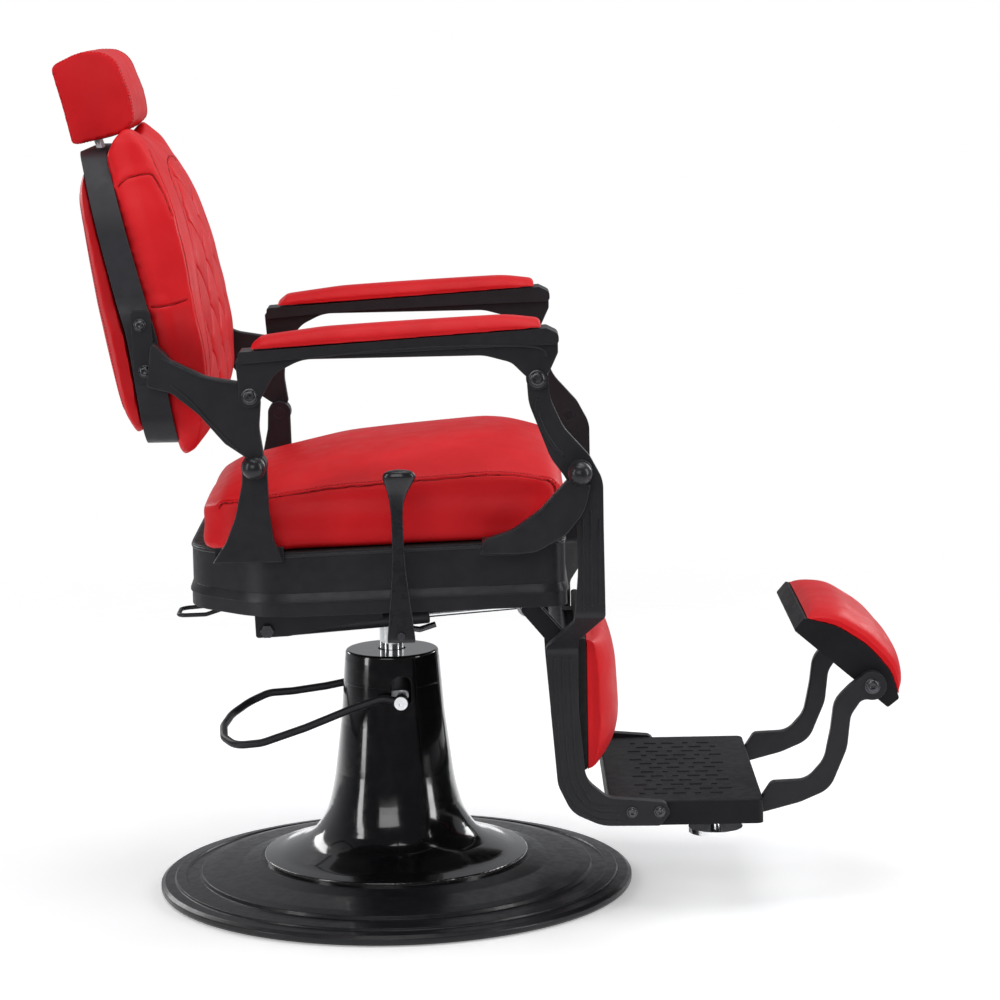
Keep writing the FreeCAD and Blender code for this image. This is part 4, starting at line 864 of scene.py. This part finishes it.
def make_buttons(pad):
    """A covered button in each dimple of the quilting."""
    tree = surface_tree(pad)
    buttons = []
    for i in range(-4, 5):
        for j in range(-4, 5):
            y = (i + j) / 2 * DIAMOND_WIDE
            z = TUFT_MIDDLE_Z + (i - j) / 2 * DIAMOND_HIGH
            if abs(y) > panel_half(z, 0) - 0.03 or z < 0.72:
                continue
            hit, normal, _, _ = tree.ray_cast(Vector((CLEAR, y, z)), Vector((-1, 0, 0)))
            if hit is None:
                continue
            form = bmesh.new()
            bmesh.ops.create_uvsphere(form, u_segments=20, v_segments=10, radius=8 * MM)
            aim = normal.to_track_quat("Z", "Y").to_matrix().to_4x4()
            flat = Matrix.Diagonal((1, 1, 0.42, 1))
            form.transform(Matrix.Translation(hit) @ aim @ flat)
            mesh = bpy.data.meshes.new("button")
            form.to_mesh(mesh)
            form.free()
            buttons.append(new_object("button", mesh))
    finish_piece(joined("back_buttons", buttons), pad["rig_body"], "red_leather")


def make_rear_shell():
    def shape(points):
        """Rounds the shell's rear edges towards the hoop."""
        out = points.copy()
        x, y, z = points.T
        front = np.interp(z, [0.65, 0.828, 1.086], [-0.3125, -0.3395, -0.4115])
        wide = half_width(z) - 0.014
        share = np.clip(np.abs(y) / wide, 0, 1)
        keep = 1 - 0.5 * share ** 2.2
        behind = x < front
        out[behind, 0] = (front + (x - front) * keep)[behind]
        return out

    pad = padded_copy("rear_shell_cushion", "rear_shell_pad", 5 * MM, shape, 4 * MM, 5 * MM)
    finish_piece(pad, body_of("rear_shell_cushion"), "red_leather", hides=["rear_shell_cushion"])
    rim = []
    for y, z in ((0.0, 1.012), (0.10, 1.010), (0.145, 0.975), (0.19, 0.90), (0.205, 0.82),
                 (0.205, 0.75), (0.18, 0.715), (0.0, 0.708)):
        rim.append((-CLEAR, y, z))
    rim += [(x, -y, z) for x, y, z in rim[-2:0:-1]]
    line = curve_through(rim, 2 * MM, closed=True)
    tree = surface_tree(pad)
    places = np.array([tuple(tree.ray_cast(Vector(p), Vector((1, 0, 0)))[0]) for p in line])
    sink_seam(pad, places, 1.8 * MM, 1.9 * MM, 0.5 * MM, 8 * MM)
    sew(pad, "rear_shell_stitches", places * [1, 0.97, 1])


# ---------------------------------------------------------------- headrest and small pads

def as_is(points):
    return points


STITCH_GAP = 6 * MM        # from the headrest's piping to its stitches


def make_headrest():
    low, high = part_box("headrest_cushion")
    half = high.y
    pad = padded_copy("headrest_cushion", "headrest_pad", 4 * MM, as_is, 1 * MM, 4 * MM, 0)
    finish_piece(pad, body_of("headrest_cushion"), "red_leather", hides=["headrest_cushion"])
    centre = (Vector(low) + Vector(high)) / 2
    for side, sign in SIDES:
        tree = surface_tree(pad)
        loop = outline_at(tree, (centre.x, sign * (half - 5 * MM), centre.z), (1, 0, 0), (0, 0, 1))
        ring = curve_through(loop[::3], 1.5 * MM, closed=True)
        sink_seam(pad, ring, 2.6 * MM, 3.2 * MM)
        sew(pad, "headrest_stitches_" + side, ring + [0, -sign * STITCH_GAP, 0])
        welt(pad, "headrest_piping_" + side, ring, 1.8 * MM)


def make_armrest_pads():
    for side, _ in SIDES:
        node = "armrest_pad_" + side
        low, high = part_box(node)

        def crown(points, low=low, high=high):
            """Rounds the pad's long edges down to the rail."""
            out = points.copy()
            middle = (low.y + high.y) / 2
            share = np.abs(points[:, 1] - middle) / ((high.y - low.y) / 2)
            rail = np.interp(points[:, 0], [low.x, high.x], [low.z, high.z - 0.018])
            rise = np.clip(points[:, 2] - rail, 0, None)
            out[:, 2] -= rise * 0.62 * np.clip(share, 0, 1) ** 3
            return out

        pad = padded_copy(node, "armrest_cushion_" + side, 3 * MM, crown, 1.5 * MM, 3 * MM, 2)
        finish_piece(pad, body_of(node), "red_leather", hides=[node])


CALF_UPRIGHT, FLAP_REST = math.radians(90), math.radians(40.6)     # slopes of the plates


def make_leg_pads():
    """The pads of the calf rest and the foot flap, drawn down to the plates behind them."""
    for node, name, backing, lean, cap in (
            ("calf_pad", "calf_cushion", "calf_board", CALF_UPRIGHT, 4 * MM),
            ("flap_pad", "flap_cushion", "flap_tray", FLAP_REST, 3 * MM)):
        base = surface_tree(NODES[backing])
        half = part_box(node)[1].y

        def gap_to(points, base=base):
            """Each point's distance to the plate under the pad, and the nearest place on it."""
            near = [base.find_nearest(Vector(q)) for q in points]
            return (np.array([hit[3] for hit in near]),
                    np.array([tuple(hit[0]) for hit in near]))

        def crown(points, half=half, lean=lean, gap_to=gap_to):
            """Draws the pad down to its plate along all four edges."""
            along = points[:, 0] * math.cos(lean) - points[:, 2] * math.sin(lean)
            middle, reach = (along.max() + along.min()) / 2, (along.max() - along.min()) / 2
            across = np.abs(points[:, 1]) / half
            ends = np.abs(along - middle) / reach
            draw = 1 - (1 - 0.62 * across ** 4) * (1 - 0.5 * ends ** 8)
            return points + (gap_to(points)[1] - points) * draw[:, None]

        def still(points, gap_to=gap_to):
            return np.clip(gap_to(points)[0] / 0.008, 0, 1)

        pad = padded_copy(node, name, 4 * MM, crown, 1 * MM, cap, 0, still=still)
        finish_piece(pad, body_of(node), "red_leather", hides=[node])


# ---------------------------------------------------------------- lever and screws

def skin(name, rings):
    """A closed solid through rings of points, which all have the same count."""
    ring = len(rings[0])
    verts = [tuple(q) for loop in rings for q in loop]
    faces = [(i * ring + k, i * ring + (k + 1) % ring,
              (i + 1) * ring + (k + 1) % ring, (i + 1) * ring + k)
             for i in range(len(rings) - 1) for k in range(ring)]
    faces.append(tuple(range(ring))[::-1])
    faces.append(tuple((len(rings) - 1) * ring + k for k in range(ring)))
    return solid(name, verts, faces)


def make_lever_handle():
    """The recline lever: a flat blade that narrows to a neck and ends in a domed oval knob."""
    low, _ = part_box("recline_lever")
    _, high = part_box("lever_knob")
    middle_y = (low.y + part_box("recline_lever")[1].y) / 2
    foot = (low.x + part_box("recline_lever")[1].x) / 2
    # height below the knob's top, shift of the middle, width and thickness, in millimetres
    stations = [(0.0, 1.5, 10, 8), (0.8, 1.5, 26, 15), (3.2, 1.5, 38, 20), (8, 1.5, 44.5, 22.5),
                (13, 1.0, 43, 21), (21, 0.0, 35.5, 17), (30, -1.2, 27, 13), (39, -2.2, 21.5, 11),
                (50, -2.6, 17.5, 9.6), (64, -2.5, 15.8, 9), (82, -2.2, 15.4, 8.6),
                (110, -1.8, 16.2, 8.2), (140, -1.2, 19.8, 8), (168, -0.8, 25, 8),
                (198, -0.3, 31, 8), (224, 0, 36.6, 8), (230.5, 0, 37.6, 7.6), (232.5, 0, 36.6, 6)]
    drops = [row[0] for row in stations]
    length = (high.z - low.z) / MM
    marks = np.r_[np.linspace(0, 10, 9), np.linspace(12, 226, 60), 228, 230.5, 232.5]
    rings = []
    for mark in marks:
        shift, wide, thick = (np.interp(mark, drops, [row[k] for row in stations])
                              for k in (1, 2, 3))
        power = np.interp(mark, [0, 30, 60], [0.9, 0.8, 0.45])
        height = high.z - mark * MM * length / drops[-1]
        loop = []
        for k in range(40):
            turn = 2 * math.pi * k / 40
            c, w = math.cos(turn), math.sin(turn)
            loop.append((foot + MM * (shift + wide / 2 * math.copysign(abs(c) ** power, c)),
                         middle_y + MM * thick / 2 * math.copysign(abs(w) ** power, w), height))
        rings.append(loop)
    handle = skin("lever_handle", rings)
    finish_piece(handle, "lever", "grip_black", hides=["recline_lever", "lever_knob"])


def loose_boxes(node):
    """The lowest and highest corner of each separate solid in a CAD node."""
    form = bmesh.new()
    form.from_mesh(NODES[node].data)
    bmesh.ops.remove_doubles(form, verts=form.verts, dist=0.01 * MM)
    left, boxes = set(form.verts), []
    while left:
        queue = [left.pop()]
        found = []
        while queue:
            vert = queue.pop()
            found.append(tuple(vert.co))
            for edge in vert.link_edges:
                other = edge.other_vert(vert)
                if other in left:
                    left.remove(other)
                    queue.append(other)
        boxes.append((np.min(found, 0), np.max(found, 0)))
    form.free()
    return sorted(boxes, key=lambda box: tuple(box[0]))


def screw_rings(low, high, radius, shank, head):
    """Rings of a button-head screw that fills a box, from its inner end to its socket."""
    sign = 1 if low[1] > 0 else -1
    start, end = (low[1], high[1]) if sign > 0 else (high[1], low[1])
    base = abs(end - start) / MM - head
    x, z = (low[0] + high[0]) / 2, (low[2] + high[2]) / 2
    # radius, distance from the inner end, and 1 where the ring has six sides
    rows = [(0.5, 0, 0), (shank, 0, 0), (shank, base, 0)] if shank else [(0.5, 0, 0)]
    rows += [(share * radius, base + rise * head, 0) for share, rise in (
        (0.99, 0), (1, 0.06), (1, 0.3), (0.96, 0.36), (0.82, 0.36), (0.8, 0.5),
        (0.76, 0.72), (0.67, 0.9), (0.55, 0.99), (0.48, 1))]
    rows += [(0.40 * radius, base + head, 1), (0.38 * radius, base + 0.94 * head, 1),
             (0.38 * radius, base + 0.42 * head, 1), (0.03 * radius, base + 0.36 * head, 0)]
    rings = []
    for size, rise, six in rows:
        loop = []
        for k in range(36):
            turn = 2 * math.pi * k / 36
            part = (turn % (math.pi / 3)) - math.pi / 6
            reach = size * (math.cos(math.pi / 6) / math.cos(part) if six else 1) * MM
            loop.append((x + reach * math.cos(turn), start + sign * rise * MM,
                         z + reach * math.sin(turn)))
        rings.append(loop)
    return rings


def make_screws():
    """Button-head screws with a washer and a six-sided socket, where the CAD has bolts and pins."""
    # the radius of the head, that of the shank, and the height of the head, in millimetres
    for node, radius, shank, head in (
            ("bracket_bolts", 8.6, 0, 6), ("armrest_pins", 11, 5.8, 4.2),
            ("link_pins", 12, 5.8, 4.2), ("footplate_bolts", 7.8, 0, 6),
            ("flap_hinge_bolts", 11, 5.8, 4.2)):
        screws = [skin("screw", screw_rings(low, high, radius, shank, head))
                  for low, high in loose_boxes(node)]
        screw_set = joined(node.rstrip("s") + "_heads", screws)
        screw_set.data.set_sharp_from_angle(angle=0.6)
        finish_piece(screw_set, body_of(node), "bolt_black", hides=[node])


# ---------------------------------------------------------------- raised detail on hard parts

LEG_UPPER_FACE, LEG_LOWER_FACE = 0.2996, 0.2156      # outer faces of the leg frame's arms


def bead(name, node, corners, wide, high, up, finish, y):
    """A raised line on a CAD part, through corners given as (x, z) at one y."""
    path = curve_through([(x, y, z) for x, z in corners], 1.2 * MM)
    piece = sweep(name, path, up, bead_profile(wide, high), tapered=True)
    finish_piece(piece, body_of(node), finish)


def outer_face(node, sign):
    """The y of a CAD part's face on the side that sign points to."""
    low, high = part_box(node)
    return high.y if sign > 0 else low.y


def make_beads():
    """The ribs and lips that catch the light on the castings, bars and rails."""
    for side, sign in SIDES:
        out = (0, sign, 0)
        bracket = "back_bracket_" + side
        face = outer_face(bracket, sign)
        bead("bracket_lip_top_" + side, bracket, [
            (-0.288, 0.800), (-0.262, 0.786), (-0.232, 0.773), (-0.200, 0.766), (-0.176, 0.764)],
            3 * MM, 1.4 * MM, out, "cast_black", face)
        bead("bracket_lip_low_" + side, bracket, [
            (-0.276, 0.764), (-0.252, 0.744), (-0.228, 0.716), (-0.206, 0.692), (-0.188, 0.674)],
            3 * MM, 1.4 * MM, out, "cast_black", face)
        leg = "leg_arm_" + side
        upper, lower = sign * LEG_UPPER_FACE, sign * LEG_LOWER_FACE
        slot = [(0.211, 0.738), (0.209, 0.722), (0.217, 0.697), (0.231, 0.674), (0.244, 0.659)]
        bead("link_rib_" + side, leg, slot, 5 * MM, 1.3 * MM, out, "frame_black", upper)
        for k, shift in enumerate((-0.011, 0.0, 0.011)):
            bead("leg_rib_upper_%d_%s" % (k, side), leg, [
                (0.279 + shift, 0.585 - abs(shift)), (0.279 + shift, 0.52),
                (0.279 + shift, 0.455 + 0.3 * shift)],
                3.2 * MM, 1.2 * MM, out, "frame_black", upper)
            bead("leg_rib_lower_%d_%s" % (k, side), leg, [
                (0.240 + shift, 0.370), (0.242 + shift, 0.300),
                (0.247 + 0.9 * shift, 0.215 + 0.2 * shift),
                (0.258 + 0.75 * shift, 0.176 + 0.7 * shift),
                (0.282, 0.152 + 0.9 * shift), (0.316, 0.147 + 0.9 * shift)],
                3.2 * MM, 1.2 * MM, out, "frame_black", lower)
        rail = "armrest_frame_" + side
        rail_face = outer_face(rail, sign)
        bead("rail_line_" + side, rail, [
            (-0.100, 0.799), (-0.003, 0.808), (0.080, 0.812), (0.159, 0.812), (0.212, 0.808),
            (0.224, 0.796)], 2.6 * MM, 0.9 * MM, out, "frame_black", rail_face)


def make_box_beads():
    """The seat box's rolled rim, and the sloping ledge above its lower band."""
    node = "seat_box"
    tree = surface_tree(NODES[node])
    low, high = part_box(node)
    centre_x = (low.x + high.x) / 2
    for name, level, slope, profile in (
            ("box_rim_bead", 0.5285, 0.0333, bead_profile(5 * MM, 1.6 * MM)),
            ("box_ledge", 0.4695, 0.0233, [(-6.5 * MM, -0.5 * MM), (-6.5 * MM, 0.15 * MM),
                                           (4.0 * MM, 4.2 * MM), (6.6 * MM, 4.2 * MM),
                                           (6.6 * MM, -0.5 * MM)])):
        centre = (centre_x, 0, level + slope * centre_x)
        loop = outline_at(tree, centre, (1, 0, slope), (0, 1, 0), count=240)
        path = curve_through(loop[::2], 3 * MM, closed=True)
        _, ups = onto_surface(tree, path)
        ups[:, 2] = 0
        ring = sweep(name, path, ups, profile, closed=True)
        ring.data.set_sharp_from_angle(angle=0.5)
        finish_piece(ring, body_of(node), "sheet_black")


def make_footplate_grip():
    """Rows of short raised bars on the footplate, in a plain staggered pattern."""
    low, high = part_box("footplate")
    tree = surface_tree(NODES["footplate"])
    bars = []
    rows, columns = 13, 5
    margin_x, margin_y, pitch = 0.048, 0.045, 0.026
    for row in range(rows):
        for column in range(columns):
            x = low.x + margin_x + (column + 0.5 * (row % 2)) * pitch
            y = low.y + margin_y + row * (high.y - low.y - 2 * margin_y) / (rows - 1)
            long = 0.019 if (row + column) % 3 else 0.009
            ends = [(x - long / 2, y), (x, y), (x + long / 2, y)]
            path = []
            for px, py in ends:
                hit = tree.ray_cast(Vector((px, py, high.z + 0.05)), Vector((0, 0, -1)))[0]
                if hit is not None:
                    path.append(tuple(hit))
            if len(path) == 3 and max(p[2] for p in path) - min(p[2] for p in path) < 0.004:
                line = curve_through(path, 1.2 * MM)
                bars.append(sweep("bar", line, (0, 0, 1), bead_profile(3 * MM, 1.3 * MM),
                                  tapered=True))
    grip = joined("footplate_grip", bars)
    finish_piece(grip, body_of("footplate"), "footplate_black")


# ---------------------------------------------------------------- the whole chair

def finish_cad_nodes():
    """Gives every CAD node that stays in view the finish of its material slot."""
    for name, obj in NODES.items():
        mesh = obj.data
        old = mesh.materials[0].name.split(".")[0] if mesh.materials else ""
        slot = old if old in FINISH else "frame_black"
        mesh.materials.clear()
        mesh.materials.append(FINISH[slot])


make_camera()
make_lights()
FINISH = make_finishes()
make_floor()
finish_cad_nodes()
make_seat_cushion()
make_back_cushion()
make_rear_shell()
make_headrest()
make_armrest_pads()
make_leg_pads()
make_lever_handle()
make_screws()
make_beads()
make_box_beads()
make_footplate_grip()
